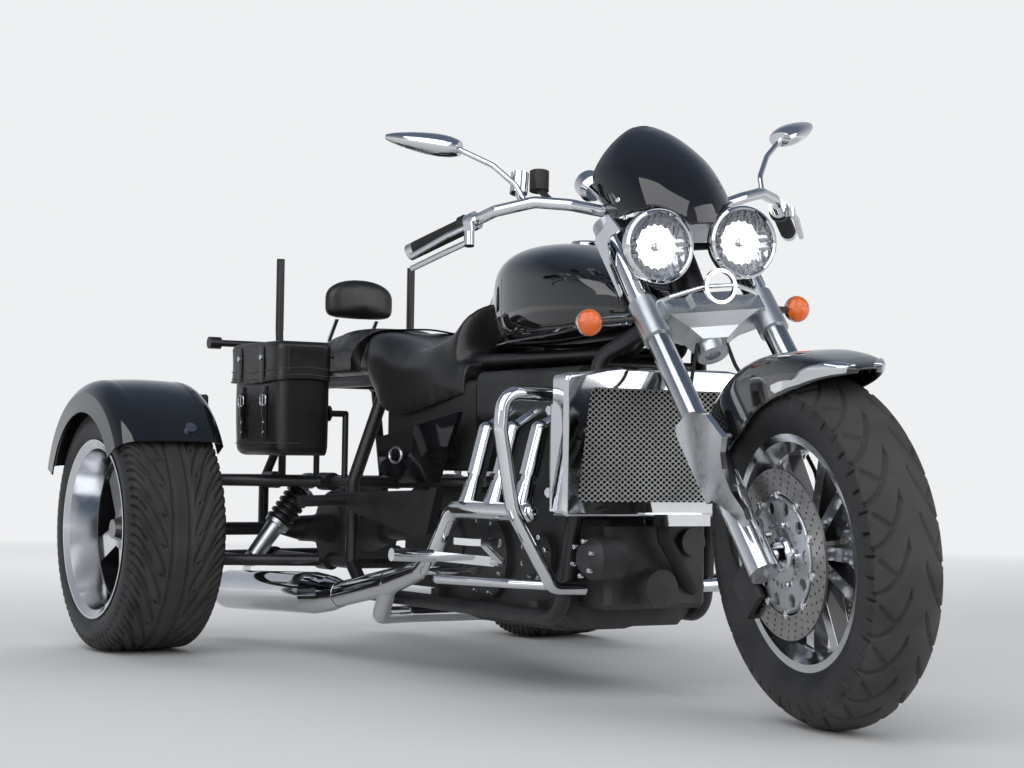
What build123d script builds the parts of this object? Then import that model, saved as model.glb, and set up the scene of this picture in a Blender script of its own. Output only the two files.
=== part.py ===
from build123d import *
import os
from math import cos, radians, sin, tan

# Three-wheeled motorcycle, parked with its front wheel turned a little to the right.
# X points forward, Y to the left, Z up, in millimetres, with the ground at Z = 0.

# Stance
FRONT_AXLE_X = 1000.0
WHEELBASE = 1993.0
REAR_TRACK = 1240.0
CLEAR = 0.3

# Steering: the head leans back by HEAD_RAKE and the fork legs by FORK_RAKE
HEAD_RAKE = 32.0
FORK_RAKE = 39.7
TRAIL = 75.0
PARKED_TURN = -10.7

# Front wheel
FRONT_TYRE_R = 336.0
FRONT_TYRE_W = 150.0
FRONT_BEAD_R = 216.0
FRONT_FLANGE_R = 229.0
FRONT_RIM_W = 112.0
FRONT_HUB_R = 42.0
SPOKE_PAIRS = 5
PAIR_SPREAD = 14.0
FIRST_PAIR = 57.0
FRONT_AXLE_R = 12.5
FRONT_DISC_R = 160.0
FRONT_DISC_Y = 80.0
DISC_THICK = 5.0
DISC_SLOTS = 10

# Rear wheels
REAR_TYRE_R = 309.0
REAR_TYRE_W = 253.0
REAR_BEAD_R = 214.0
REAR_FLANGE_R = 226.5
REAR_RIM_W = 240.0
REAR_DISH = 28.0
REAR_SPOKES = 5
REAR_HUB_R = 52.0
SHAFT_R = 17.0
RUNNING_FIT = 0.05

# Fork
LEG_SPACING = 264.0
LEG_R = 25.0
LEG_BOTTOM = -38.0
LEG_TOP = 872.0
COVER_R = 31.0
COVER_TOP = 215.0
COLLAR_R = 34.0
COLLAR_LONG = 155.0
LOWER_YOKE = 600.0
UPPER_YOKE = 848.0
YOKE_COLLAR_R = 31.0
YOKE_COLLAR_LONG = 96.0
STEM_R = 16.0

# Lamps and screen
LAMP_SPACING = 193.0
LAMP_R = 76.0
LENS_R = 68.0
LAMP_X = 617.0
LAMP_Z = 944.0
LAMP_DEPTH = 66.0
SCREEN_WALL = 4.0

# Bars
BAR_R = 12.7
GRIP_R = 18.5

# Frame
HEAD_R = 36.0
DOWN_TUBE_R = 17.0
CRADLE_Y = 172.0
RAIL_Y = 185.0
BACK_R = 15.0
SEAT_RAIL_Z = 698.0
TANK_RAIL_Z = 729.0

# Engine
ENGINE_BOTTOM = 142.0
COVER_FRONT = 440.0
RADIATOR_X = 415.0
RADIATOR_HALF_W = 274.0
RADIATOR_DEPTH = 86.0
BEZEL_DEPTH = 49.0
RADIATOR_LOW = 382.0
RADIATOR_HIGH = 664.0
RADIATOR_HUMP = 28.0
WING_IN = 232.0
WING_OUT = 262.0
HEADER_R = 21.0
HEADER_STATIONS = (302.0, 190.0, 78.0)
SILENCER_R = 53.0
SILENCER_Y = 250.0

# Rear suspension
ARM_RISE = 128.0
ARM_DROP = 76.0
ARM_R = 15.0
CARRIER_Y = 462.0

# Saddlebags
BAG_LONG = 290.0
BAG_INNER = 237.0
BAG_OUTER = 392.0
BAG_LOW = 502.0
BAG_RIM = 752.0
BAG_WALL = 4.0
LID_GAP = 0.5
LID_TALL = 36.0
KNUCKLE_LONG = 30.0
LID_OVER = 5.0
PIN_R = 2.5
KNUCKLE_R = 5.0

FRONT_AXLE_Z = FRONT_TYRE_R
REAR_AXLE_X = FRONT_AXLE_X - WHEELBASE
REAR_AXLE_Z = REAR_TYRE_R
REAR_Y = REAR_TRACK / 2
UPPER_ARM_Z = REAR_AXLE_Z + ARM_RISE
LOWER_ARM_Z = REAR_AXLE_Z - ARM_DROP
SUB_FRONT = REAR_AXLE_X + 353
SUB_REAR = REAR_AXLE_X - 202
POST_X = REAR_AXLE_X - 64
RACK_X = REAR_AXLE_X - 83
BAG_REAR = REAR_AXLE_X + 48
BAG_FRONT = BAG_REAR + BAG_LONG
LID_TOP = BAG_RIM + LID_TALL
HINGE_Y = BAG_INNER - 5.5
HEAD_DIR = (-sin(radians(HEAD_RAKE)), 0.0, cos(radians(HEAD_RAKE)))
HEAD_FOOT = (FRONT_AXLE_X + TRAIL, 0.0, 0.0)
STEER_AXIS = Axis(HEAD_FOOT, HEAD_DIR)
# The fork's own frame: origin on the front axle, x ahead of the legs, z up along them
FORK = Location((FRONT_AXLE_X, 0, FRONT_AXLE_Z)) * Rotation(0, -FORK_RAKE, 0)
CMIN = (Align.CENTER, Align.CENTER, Align.MIN)

nodes = {}


def rod(p, q, r):
    """A round bar of radius r from p to q."""
    p, q = Vector(*p), Vector(*q)
    return Plane(origin=p, z_dir=q - p) * Cylinder(r, (q - p).length, align=CMIN)


def hole_rod(p, q, r, bore):
    """A sleeve from p to q."""
    return rod(p, q, r) - rod(p, q, bore)


def cone(p, q, r1, r2):
    """A tapered round bar from p to q."""
    p, q = Vector(*p), Vector(*q)
    return Plane(origin=p, z_dir=q - p) * Cone(r1, r2, (q - p).length, align=CMIN)


def pipe(points, r, bend):
    """A round tube through the points with bends of one radius or one radius for each corner."""
    path = FilletPolyline(*points, radius=bend)
    return sweep(Plane(path @ 0, z_dir=path % 0) * Circle(r), path=path)


def block(x0, x1, y0, y1, z0, z1):
    """A box between two corners."""
    return Pos((x0 + x1) / 2, (y0 + y1) / 2, (z0 + z1) / 2) * Box(x1 - x0, y1 - y0, z1 - z0)


def both(shape):
    """The shape and its mirror image on the vehicle's other side."""
    return shape + mirror(shape, about=Plane.XZ)


def spun(points):
    """A ring turned from a closed outline of (radius, width) points about Y."""
    outline = make_face(Polyline(*points, close=True))
    return revolve(outline, axis=Axis.Y)


def plate_xz(points, y0, y1):
    """A plate cut to an outline of (x, z) points, from y0 to y1."""
    outline = make_face(Polyline(*[(x, 0, z) for x, z in points], close=True))
    return Pos(0, y0, 0) * extrude(outline, amount=y1 - y0, dir=(0, 1, 0))


def keep(name, shape, steered=False):
    """Files a finished piece, turned with the steering where it belongs to it."""
    if steered:
        shape = shape.rotate(STEER_AXIS, PARKED_TURN)
    nodes[name] = shape


# Front wheel, built about its own centre with its axle along Y
half = FRONT_TYRE_W / 2
seat = FRONT_RIM_W / 2 - 8
crown = Polyline((FRONT_BEAD_R, -seat), (FRONT_BEAD_R, seat))
side_a = ThreePointArc((FRONT_BEAD_R, seat), (265, half), (302, half - 6))
top = ThreePointArc((302, half - 6), (FRONT_TYRE_R, 0), (302, -half + 6))
side_b = ThreePointArc((302, -half + 6), (265, -half), (FRONT_BEAD_R, -seat))
front_tyre = revolve(make_face([crown, side_a, top, side_b]), axis=Axis.Y)
rim_half = FRONT_RIM_W / 2
front_rim = spun([
    (FRONT_BEAD_R, -seat), (FRONT_BEAD_R, seat), (FRONT_FLANGE_R - 4, seat + 3), (FRONT_FLANGE_R, rim_half),
    (FRONT_BEAD_R - 8, rim_half - 2), (FRONT_BEAD_R - 26, 22), (FRONT_BEAD_R - 26, -22),
    (FRONT_BEAD_R - 8, -rim_half + 2), (FRONT_FLANGE_R, -rim_half), (FRONT_FLANGE_R - 4, -seat - 3),
])
front_rim = front_rim - front_tyre
hub = Rotation(90, 0, 0) * (Cylinder(FRONT_HUB_R, 124) - Cylinder(FRONT_AXLE_R + RUNNING_FIT, 130))
spoke = loft([
    Plane(origin=(FRONT_HUB_R - 8, 0, 0), x_dir=(0, 1, 0), z_dir=(1, 0, 0)) * Rectangle(44, 24),
    Plane(origin=(FRONT_BEAD_R - 20, 0, 0), x_dir=(0, 1, 0), z_dir=(1, 0, 0)) * Rectangle(30, 26),
])
spoke_angles = [
    FIRST_PAIR + 360 / SPOKE_PAIRS * i + lean
    for i in range(SPOKE_PAIRS)
    for lean in (-PAIR_SPREAD, PAIR_SPREAD)
]
spokes = [Rotation(0, -angle, 0) * spoke for angle in spoke_angles]
front_rim = front_rim + hub + spokes
front_rim = front_rim - Rotation(90, 0, 0) * Cylinder(FRONT_AXLE_R + RUNNING_FIT, 130)
disc = Rotation(90, 0, 0) * (
    Cylinder(FRONT_DISC_R, DISC_THICK) - Cylinder(FRONT_DISC_R - 48, DISC_THICK + 1)
)
carrier_plate = Rotation(90, 0, 0) * (
    Cylinder(FRONT_DISC_R - 48, DISC_THICK) - Cylinder(FRONT_AXLE_R + 18, DISC_THICK + 1)
)
slots = [
    Rotation(0, 360 / DISC_SLOTS * i, 0) * (Pos(84, 0, 0) * Box(22, DISC_THICK + 2, 13))
    for i in range(DISC_SLOTS)
]
boss = Rotation(90, 0, 0) * (
    Cylinder(FRONT_HUB_R - 4, FRONT_DISC_Y - 62 - DISC_THICK / 2) - Cylinder(FRONT_AXLE_R + 8, 60)
)
one_disc = Pos(0, FRONT_DISC_Y, 0) * (disc + carrier_plate - slots)
one_disc = one_disc + Pos(0, 62 + (FRONT_DISC_Y - 62 - DISC_THICK / 2) / 2, 0) * boss
front_discs = one_disc + mirror(one_disc, about=Plane.XZ)
AT_FRONT = Pos(FRONT_AXLE_X, 0, FRONT_AXLE_Z)
keep("front_tyre", AT_FRONT * front_tyre, True)
keep("front_rim", AT_FRONT * front_rim, True)
keep("front_discs", AT_FRONT * front_discs, True)

# Fork, in its own frame
leg_y = LEG_SPACING / 2


def fork_both(shape):
    """A piece of one leg, given on the left, on both legs and in place."""
    return FORK * both(shape)


leg = Pos(0, leg_y, LEG_BOTTOM + 6) * Cylinder(LEG_R, LEG_TOP - LEG_BOTTOM - 6, align=CMIN)
front_axle = Rotation(90, 0, 0) * Cylinder(FRONT_AXLE_R, 2 * leg_y)
cover = Pos(0, leg_y, LEG_BOTTOM) * Cylinder(COVER_R, COVER_TOP - LEG_BOTTOM, align=CMIN)
shield = make_face(Polyline(
    (-34, COVER_TOP - 60), (-34, 322), (-22, 338), (40, 322), (92, 272), (112, 200), (84, 186), (66, 160),
    (62, 110), (74, 58), (70, 38), (48, 38), (22, 96), (-10, COVER_TOP - 70), close=True
))
shield = Pos(0, leg_y + 22, 0) * extrude(Plane.XZ * shield, amount=12, dir=(0, 1, 0))
collar = Pos(0, leg_y, COVER_TOP - 70) * Cylinder(COLLAR_R, COLLAR_LONG, align=CMIN)
cover = cover + shield + collar
cover = cover - Pos(0, leg_y, LEG_BOTTOM + 6) * Cylinder(LEG_R, 600, align=CMIN)
fork_tubes = fork_both(leg - front_axle)
fork_covers = fork_both(cover - front_axle)
front_axle = FORK * front_axle
keep("fork_tubes", fork_tubes, True)
keep("front_axle", front_axle, True)
keep("fork_covers", fork_covers, True)


def head_uw(w):
    """Where the steering axis lies ahead of the legs, at height w along them."""
    drop = radians(FORK_RAKE)
    t = (w + TRAIL * sin(drop) + FRONT_AXLE_Z * cos(drop)) / (
        sin(radians(HEAD_RAKE)) * sin(drop) + cos(radians(HEAD_RAKE)) * cos(drop)
    )
    x = TRAIL - sin(radians(HEAD_RAKE)) * t
    z = cos(radians(HEAD_RAKE)) * t - FRONT_AXLE_Z
    return x * cos(drop) + z * sin(drop), t


def head_point(t):
    """The point t along the steering axis from the ground."""
    return (HEAD_FOOT[0] + HEAD_DIR[0] * t, 0.0, HEAD_DIR[2] * t)


low_u, low_t = head_uw(LOWER_YOKE)
up_t = head_uw(UPPER_YOKE)[1]
legs_bore = [Pos(0, s * leg_y, 0) * Cylinder(LEG_R, 1200, align=CMIN) for s in (1, -1)]
yoke_outline = make_face(Polyline(
    (34, -leg_y + 18), (40, -58), (52, -50), (52, 50), (40, 58), (34, leg_y - 18), (-30, leg_y - 8),
    (low_u - 34, 44), (low_u - 34, -44), (-30, -leg_y + 8), close=True
))
lower_yoke = Pos(0, 0, LOWER_YOKE - 17) * extrude(yoke_outline, amount=34)
under = loft([
    Pos(2, 0, LOWER_YOKE - 17) * Rectangle(58, 204),
    Pos(low_u * 0.5, 0, LOWER_YOKE - 36) * Rectangle(48, 112),
    Pos(low_u, 0, LOWER_YOKE - 54) * Rectangle(52, 58),
], ruled=True)
lower_yoke = lower_yoke + under
for s in (1, -1):
    lower_yoke = lower_yoke + Pos(0, s * leg_y, LOWER_YOKE - 55) * Cylinder(YOKE_COLLAR_R, YOKE_COLLAR_LONG,
                                                                            align=CMIN)
upper_outline = make_face(Polyline(
    (24, -leg_y + 4), (34, -60), (34, 60), (24, leg_y - 4), (-24, leg_y - 4), (-36, 60), (-36, -60),
    (-24, -leg_y + 4), close=True
))
upper_yoke = Pos(0, 0, UPPER_YOKE - 13) * extrude(upper_outline, amount=26)
for s in (1, -1):
    upper_yoke = upper_yoke + Pos(0, s * leg_y, UPPER_YOKE - 15) * Cylinder(YOKE_COLLAR_R, 36, align=CMIN)
yokes = FORK * (lower_yoke + upper_yoke) + rod(head_point(low_t - 72), head_point(low_t - 20), 33)
yokes = yokes - [FORK * bore for bore in legs_bore]
yokes = yokes - rod(head_point(low_t - 150), head_point(up_t + 150), STEM_R)
stem = rod(head_point(low_t - 60), head_point(up_t + 30), STEM_R)
nut = rod(head_point(up_t + 22), head_point(up_t + 44), 21)
yokes = yokes + stem
yokes = yokes + nut
keep("yokes", yokes, True)

# Front mudguard: a curved shell over the tyre that narrows and lifts towards its front tip, as stations of
# (angle up from straight ahead, crown radius, half width, radius of the lower edge)
GUARD_WALL = 3.5
guard_stations = [
    (150, 374, 84, 266), (138, 374, 85, 260), (126, 374, 86, 256), (114, 374, 86, 256), (102, 374, 86, 273),
    (90, 374, 86, 287), (78, 377, 84, 305), (67, 385, 77, 331), (59, 394, 62, 364), (53, 400, 36, 389),
]


def guard_section(angle, crown, half_y, low):
    """One station of the front mudguard: a thin arch with straight sides and rounded shoulders."""
    k = min(1.0, (crown - low) / 60)
    a = radians(angle)
    skins = []
    for d in (0.0, GUARD_WALL):
        h, r = half_y - d, crown - d
        skins.append([(r - 50 * k, h), (r - 17 * k, 0.76 * h), (r - 7 * k, 0.42 * h), (r, 0)])
    (o0, o1, o2, o3), (i0, i1, i2, i3) = skins
    face = make_face([
        Line((low, -o0[1]), (o0[0], -o0[1])),
        ThreePointArc((o0[0], -o0[1]), (o1[0], -o1[1]), (o2[0], -o2[1])),
        ThreePointArc((o2[0], -o2[1]), o3, o2),
        ThreePointArc(o2, o1, o0),
        Line(o0, (low, o0[1])),
        Line((low, o0[1]), (low, i0[1])),
        Line((low, i0[1]), i0),
        ThreePointArc(i0, i1, i2),
        ThreePointArc(i2, i3, (i2[0], -i2[1])),
        ThreePointArc((i2[0], -i2[1]), (i1[0], -i1[1]), (i0[0], -i0[1])),
        Line((i0[0], -i0[1]), (low, -i0[1])),
        Line((low, -i0[1]), (low, -o0[1])),
    ])
    return Plane(origin=(0, 0, 0), x_dir=(cos(a), 0, sin(a)), z_dir=(-sin(a), 0, cos(a))) * face


front_fender = AT_FRONT * loft([guard_section(*station) for station in guard_stations], ruled=True)
BOSS_W = 284.0
boss_rods = [FORK * rod((0, s * 83, BOSS_W), (0, s * 110, BOSS_W), 9) for s in (1, -1)]
boss_cut = [FORK * Pos(0, s * leg_y, BOSS_W - 40) * Cylinder(COLLAR_R, 80, align=CMIN) for s in (1, -1)]
front_fender = front_fender + boss_rods
front_fender = front_fender - boss_cut
keep("front_fender", front_fender, True)

# Lamps: two bowls side by side, with a bare ring and bar ornament below
lamp_y = LAMP_SPACING / 2
leg_lamp_x = FRONT_AXLE_X - (LAMP_Z - FRONT_AXLE_Z) * tan(radians(FORK_RAKE))
bowl_pts = [
    (0, LAMP_R), (-14, LAMP_R), (-34, LAMP_R - 9), (-52, LAMP_R - 28), (-LAMP_DEPTH, LAMP_R - 58),
    (-LAMP_DEPTH, 0), (-20, 0), (-20, LENS_R), (0, LENS_R),
]
lens_pts = [(3, 0), (1, 40), (-5, LENS_R), (-20, LENS_R), (-20, 0)]


def turned_x(points):
    """A solid turned about X from (x, r) points."""
    return revolve(make_face(Polyline(*[(x, r, 0) for x, r in points], close=True)), axis=Axis.X)


shells = both(Pos(LAMP_X, lamp_y, LAMP_Z) * turned_x(bowl_pts))
lenses = both(Pos(LAMP_X, lamp_y, LAMP_Z) * turned_x(lens_pts))
keep("headlamp_shells", shells, True)
keep("headlamp_lenses", lenses, True)

cross_x = LAMP_X - LAMP_DEPTH - 8
bracket = pipe([
    (leg_lamp_x, -leg_y, LAMP_Z), (cross_x, 8 - leg_y, LAMP_Z), (cross_x, leg_y - 8, LAMP_Z),
    (leg_lamp_x, leg_y, LAMP_Z)
], 8, 16)
for s in (1, -1):
    bracket = bracket + rod((cross_x, s * lamp_y, LAMP_Z), (cross_x + 8, s * lamp_y, LAMP_Z), 11)
SIGNAL_X, SIGNAL_Y, SIGNAL_Z, SIGNAL_R = 562.0, 241.0, 800.0, 27.0
leg_signal_x = FRONT_AXLE_X - (SIGNAL_Z - FRONT_AXLE_Z) * tan(radians(FORK_RAKE))
stalk = rod((leg_signal_x, leg_y, SIGNAL_Z), (SIGNAL_X, SIGNAL_Y - SIGNAL_R + 4, SIGNAL_Z), 7)
signal = Pos(SIGNAL_X, SIGNAL_Y, SIGNAL_Z) * turned_x([
    (18, 0), (16, SIGNAL_R - 9), (8, SIGNAL_R - 1), (0, SIGNAL_R), (-16, SIGNAL_R - 2),
    (-28, SIGNAL_R - 12), (-30, 0),
])
stalk = stalk - signal - FORK * Pos(0, leg_y, LOWER_YOKE - 55) * Cylinder(YOKE_COLLAR_R, YOKE_COLLAR_LONG,
                                                                          align=CMIN)
side_plate = make_face(Polyline(
    (-13, 677), (-3, 677), (2, 754), (30, 789), (48, 789), (94, 763), (77, 825), (36, 824), (-5, 839),
    (-14, 829),
    close=True
))
side_plate = Pos(0, leg_y + YOKE_COLLAR_R, 0) * extrude(Plane.XZ * side_plate, amount=5, dir=(0, 1, 0))
side_plates = FORK * both(side_plate)
RING_X, RING_Z, RING_R = 680.0, 853.0, 36.0
ring = Pos(RING_X, 0, RING_Z) * Rotation(0, 90, 0) * (Cylinder(RING_R, 9) - Cylinder(RING_R - 7, 10))
wing_half = [(592, 122, 826), (648, 98, 838), (RING_X, 36, RING_Z + 1)]
wing = pipe([(x, -y, z) for x, y, z in wing_half] + [(x, y, z) for x, y, z in reversed(wing_half)], 4.5,
            [40, 60, 60, 40])
ring_stem = rod((RING_X - 2, 0, RING_Z - RING_R + 4), (642, 0, 826), 4)
ornament = ring + wing + ring_stem
keep("ornament", ornament - (yokes + fork_tubes), True)
bracket = bracket - fork_tubes
keep("lamp_brackets", bracket + both(stalk), True)
keep("fork_side_plates", side_plates, True)
keep("indicators", both(signal), True)

# Fly screen: a swept-back shell with a rounded crest, seen as flat sections from the bottom up
screen_levels = [
    (984, 629, 122, 512), (1030, 615, 133, 462), (1075, 584, 134, 420), (1117, 546, 131, 384),
    (1145, 514, 104, 392),
    (1174, 472, 86, 388), (1198, 428, 58, 388), (1214, 392, 26, 382),
]


def screen_section(z, crest, half_y, edge):
    """One level of the screen: the ground plan between its swept front and the line between its edges."""
    front = ThreePointArc((edge, -half_y, z), (crest, 0, z), (edge, half_y, z))
    return make_face([front, Line(front @ 1, front @ 0)])


fly_screen = loft([screen_section(*level) for level in screen_levels], ruled=True)
inner_screen = loft([
    screen_section(z - SCREEN_WALL * 0.6, crest - SCREEN_WALL * 1.5, half_y - SCREEN_WALL * 1.2, edge - 12)
    for z, crest, half_y, edge in screen_levels
], ruled=True)
fly_screen = fly_screen - inner_screen - block(300, 640, -200, 200, 960, screen_levels[0][0] + 4)
for s in (1, -1):
    lamp_bore = Pos(LAMP_X - 60, s * lamp_y, LAMP_Z) * Rotation(0, 90, 0) * Cylinder(LAMP_R + 2, 240)
    fly_screen = fly_screen - lamp_bore
keep("fly_screen", fly_screen, True)

# Handlebar with its risers, grips, levers and controls
BAR_CLAMP = (448.0, 48.0, 1046.0)
bar_left = [(440, 135, 1034), (428, 205, 1052), (392, 270, 1064), (330, 336, 1054), (164, 460, 993)]
bar_path = [(x, -y, z) for x, y, z in reversed(bar_left)] + [(448, -60, 1046), (448, 60, 1046)] + bar_left
handlebar = pipe(bar_path, BAR_R, 38)
riser = rod((432, 48, 1010), BAR_CLAMP, 15) + Pos(*BAR_CLAMP) * Rotation(90, 0, 0) * Cylinder(21, 28)
POD = (345.0, 118.0, 1098.0)
pod = Pos(*POD) * Rotation(0, -60, 0) * (Cylinder(31, 30) + Pos(0, 0, -22) * Cone(22, 31, 14))
pod_stay = rod((362, 118, 1084), (442, 118, 1036), 6)
handlebar = handlebar + both(riser) + both(pod) + both(pod_stay)
handlebar = handlebar - yokes
grip_from = Vector(*bar_left[-2])
grip_to = Vector(*bar_left[-1])
grip_dir = (grip_to - grip_from).normalized()
g0 = grip_from + grip_dir * 88
grip = hole_rod(tuple(g0), tuple(grip_to), GRIP_R, BAR_R)
end_cap = rod(tuple(grip_to), tuple(grip_to + grip_dir * 18), GRIP_R)
keep("grips", both(grip), True)
handlebar = handlebar + both(end_cap)
keep("handlebar", handlebar, True)
lever_root = g0 - grip_dir * 22 + Vector(26, 14, -8)
lever_tip = grip_to + grip_dir * 6 + Vector(30, 16, -14)
perch = hole_rod(tuple(g0 - grip_dir * 40), tuple(g0 - grip_dir * 14), 20, BAR_R)
perch = perch + rod(tuple(g0 - grip_dir * 27), tuple(lever_root), 9)
lever_mid = lever_root + (lever_tip - lever_root) * 0.35
lever_a = pipe([tuple(lever_root), tuple(lever_mid + Vector(6, 4, 2)), tuple(lever_tip)], 6.5, 60)
lever = perch + lever_a + rod(tuple(lever_root - Vector(0, 0, 11)), tuple(lever_root + Vector(0, 0, 9)), 12)
drop = Vector(8, 6, -34)
second = rod(tuple(lever_root + drop - Vector(0, 0, 9)), tuple(lever_root - Vector(0, 0, 11)), 11)
second = second + pipe(
    [tuple(lever_root + drop), tuple(lever_mid + drop + Vector(6, 4, 2)), tuple(lever_tip + drop * 0.8)],
    6.5, 60
)
cup_at = Vector(343, 285, 1088)
cup = Pos(*cup_at) * Rotation(14, -12, 0) * Cylinder(19, 46, align=CMIN)
cup = cup + rod((374, 289, 1061), tuple(cup_at + Vector(2, 0, 4)), 9)
right_levers = mirror(lever + second + cup, about=Plane.XZ)
hand_levers = lever + right_levers
switch = hole_rod(tuple(g0 - grip_dir * 13.5), tuple(g0 - grip_dir * 0.5), 23, BAR_R)
tank_at = Vector(316, 226, 1094)
black_cup = Pos(*tank_at) * Rotation(10, -10, 0) * Cylinder(21, 44, align=CMIN)
black_cup = black_cup + rod((413, 236, 1058), tuple(tank_at + Vector(0, 0, 4)), 7)
bar_switchgear = both(switch) + mirror(black_cup, about=Plane.XZ)
hand_levers = hand_levers - handlebar
bar_switchgear = bar_switchgear - handlebar - hand_levers
keep("hand_levers", hand_levers, True)
keep("bar_switchgear", bar_switchgear, True)
MIRROR_IN = Vector(285, 388, 1194)
MIRROR_OUT = Vector(190, 522, 1236)
mirror_dir = (MIRROR_OUT - MIRROR_IN).normalized()
mirror_plane = [
    (0, 20, 26), (40, 30, 38), (95, 26, 34), (140, 17, 22), (165, 8, 10),
]
sections = [
    Plane(origin=tuple(MIRROR_IN + mirror_dir * d), z_dir=tuple(mirror_dir)) * Ellipse(b, a * 0.8)
    for d, a, b in mirror_plane
]
mirror_head = loft(sections)
mirror_stalk = pipe([(372, 283, 1066), (352, 292, 1104), (322, 330, 1152),
                     tuple(MIRROR_IN + mirror_dir * 8)], 6, 40)
mirrors = both(mirror_head + mirror_stalk) - handlebar - hand_levers - bar_switchgear
keep("mirrors", mirrors, True)

# Front brake calipers and hoses, fixed to the legs and clipped to the covers
PAD_GAP = 5.2
slot_half = DISC_THICK / 2 + PAD_GAP
caliper = Pos(0, FRONT_DISC_Y, 0) * block(-FRONT_DISC_R - 20, -102, -slot_half - 12, slot_half + 12, -20, 62)
caliper = chamfer(caliper.edges().filter_by(Axis.Z), 6)
caliper = caliper - Pos(0, FRONT_DISC_Y, 0) * block(-FRONT_DISC_R - 7, -90, -slot_half, slot_half, -22, 64)
lug = block(-110, -20, FRONT_DISC_Y + slot_half + 2, FRONT_DISC_Y + slot_half + 12, 8, 44)
lug = lug + block(-52, -8, FRONT_DISC_Y + slot_half + 2, leg_y, 18, 36)
calipers = FORK * (both(caliper + lug) - both(Pos(0, leg_y, LEG_BOTTOM) * Cylinder(COVER_R, 400, align=CMIN)))
calipers = calipers - fork_covers - fork_tubes
keep("front_calipers", calipers, True)
HOSE_R = 4.0
hose = pipe([
    (low_u + 4, 34, LOWER_YOKE - 52), (-66, 52, 500), (-54, 104, 400), (-54, 108, 210), (-132, 96, 110),
    (-140, FRONT_DISC_Y + 14, 58),
], HOSE_R, [60, 60, 60, 40])
hoses = FORK * both(hose) - calipers - yokes - fork_covers
keep("brake_hoses", hoses, True)

# Frame
STEM_FIT = STEM_R + RUNNING_FIT
head_tube = rod(head_point(low_t + 25), head_point(up_t - 20), HEAD_R)
cradle = [(562, 26, 822), (402, 126, 716), (388, 170, 420), (352, CRADLE_Y + 14, 164),
          (SUB_FRONT + 80, CRADLE_Y + 14, 164),
          (SUB_FRONT, RAIL_Y, LOWER_ARM_Z)]
cradle_pipe = pipe(cradle, DOWN_TUBE_R, [50, 50, 60, 40])
rear_post = pipe([
    (SUB_FRONT, RAIL_Y, LOWER_ARM_Z), (SUB_FRONT, RAIL_Y, UPPER_ARM_Z),
    (SUB_FRONT + 40, 110, SEAT_RAIL_Z + 2),
], DOWN_TUBE_R, 40)
backbone = pipe([(545, 20, 850), (420, 62, TANK_RAIL_Z), (-240, 92, TANK_RAIL_Z), (-330, 110, SEAT_RAIL_Z),
                 (POST_X - 63, 110, SEAT_RAIL_Z)], BACK_R, [40, 120, 60])
half_frame = cradle_pipe + rear_post + backbone
cross_members = [rod((SUB_FRONT, -RAIL_Y, z), (SUB_FRONT, RAIL_Y, z), 14) for z in (LOWER_ARM_Z, UPPER_ARM_Z)]
cross_members = cross_members[0] + cross_members[1]
cross_members = cross_members + rod((SUB_FRONT + 40, -110, SEAT_RAIL_Z), (SUB_FRONT + 40, 110, SEAT_RAIL_Z),
                                    12)
cross_members = cross_members + rod((398, -128, 700), (398, 128, 700), 12)
cross_members = cross_members + rod((POST_X, -110, SEAT_RAIL_Z), (POST_X, 110, SEAT_RAIL_Z), 9)
frame = head_tube + both(half_frame) + cross_members
frame = frame - rod(head_point(low_t), head_point(up_t), STEM_FIT)
keep("frame_tubes", frame)

upper_rail = rod((SUB_FRONT, RAIL_Y, UPPER_ARM_Z), (SUB_REAR, RAIL_Y, UPPER_ARM_Z), 14)
lower_rail = rod((SUB_FRONT, RAIL_Y, LOWER_ARM_Z), (SUB_REAR, RAIL_Y, LOWER_ARM_Z), 14)
sub = upper_rail + lower_rail
sub = sub + rod((SUB_REAR, RAIL_Y, LOWER_ARM_Z - 14), (SUB_REAR, RAIL_Y, UPPER_ARM_Z + 14), 14)
sub = sub + rod((SUB_REAR, RAIL_Y, UPPER_ARM_Z), (POST_X - 53, 110, SEAT_RAIL_Z), 12)
sub = both(sub)
for z in (LOWER_ARM_Z, UPPER_ARM_Z):
    sub = sub + rod((SUB_REAR, -RAIL_Y, z), (SUB_REAR, RAIL_Y, z), 14)
for x in (REAR_AXLE_X - 55, REAR_AXLE_X + 55):
    sub = sub + rod((x, -RAIL_Y, UPPER_ARM_Z), (x, RAIL_Y, UPPER_ARM_Z), 12)
sub = sub - frame

# Radiator: a bright bezel with a humped top and tapered window, two side wings behind it, and the core
bezel_front = RADIATOR_X + RADIATOR_DEPTH
bezel_back = bezel_front - BEZEL_DEPTH
WINDOW = [(243.0, 413.0), (213.0, 647.0)]


def plate_yz(half_points, x0, x1, corner):
    """A plate with rounded corners, symmetric about Y = 0, from x0 to x1."""
    outline = [(0, y, z) for y, z in half_points] + [(0, -y, z) for y, z in reversed(half_points)]
    face = make_face(Polyline(*outline, close=True))
    face = fillet(face.vertices(), corner)
    return Pos(x0, 0, 0) * extrude(face, amount=x1 - x0, dir=(1, 0, 0))


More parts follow.
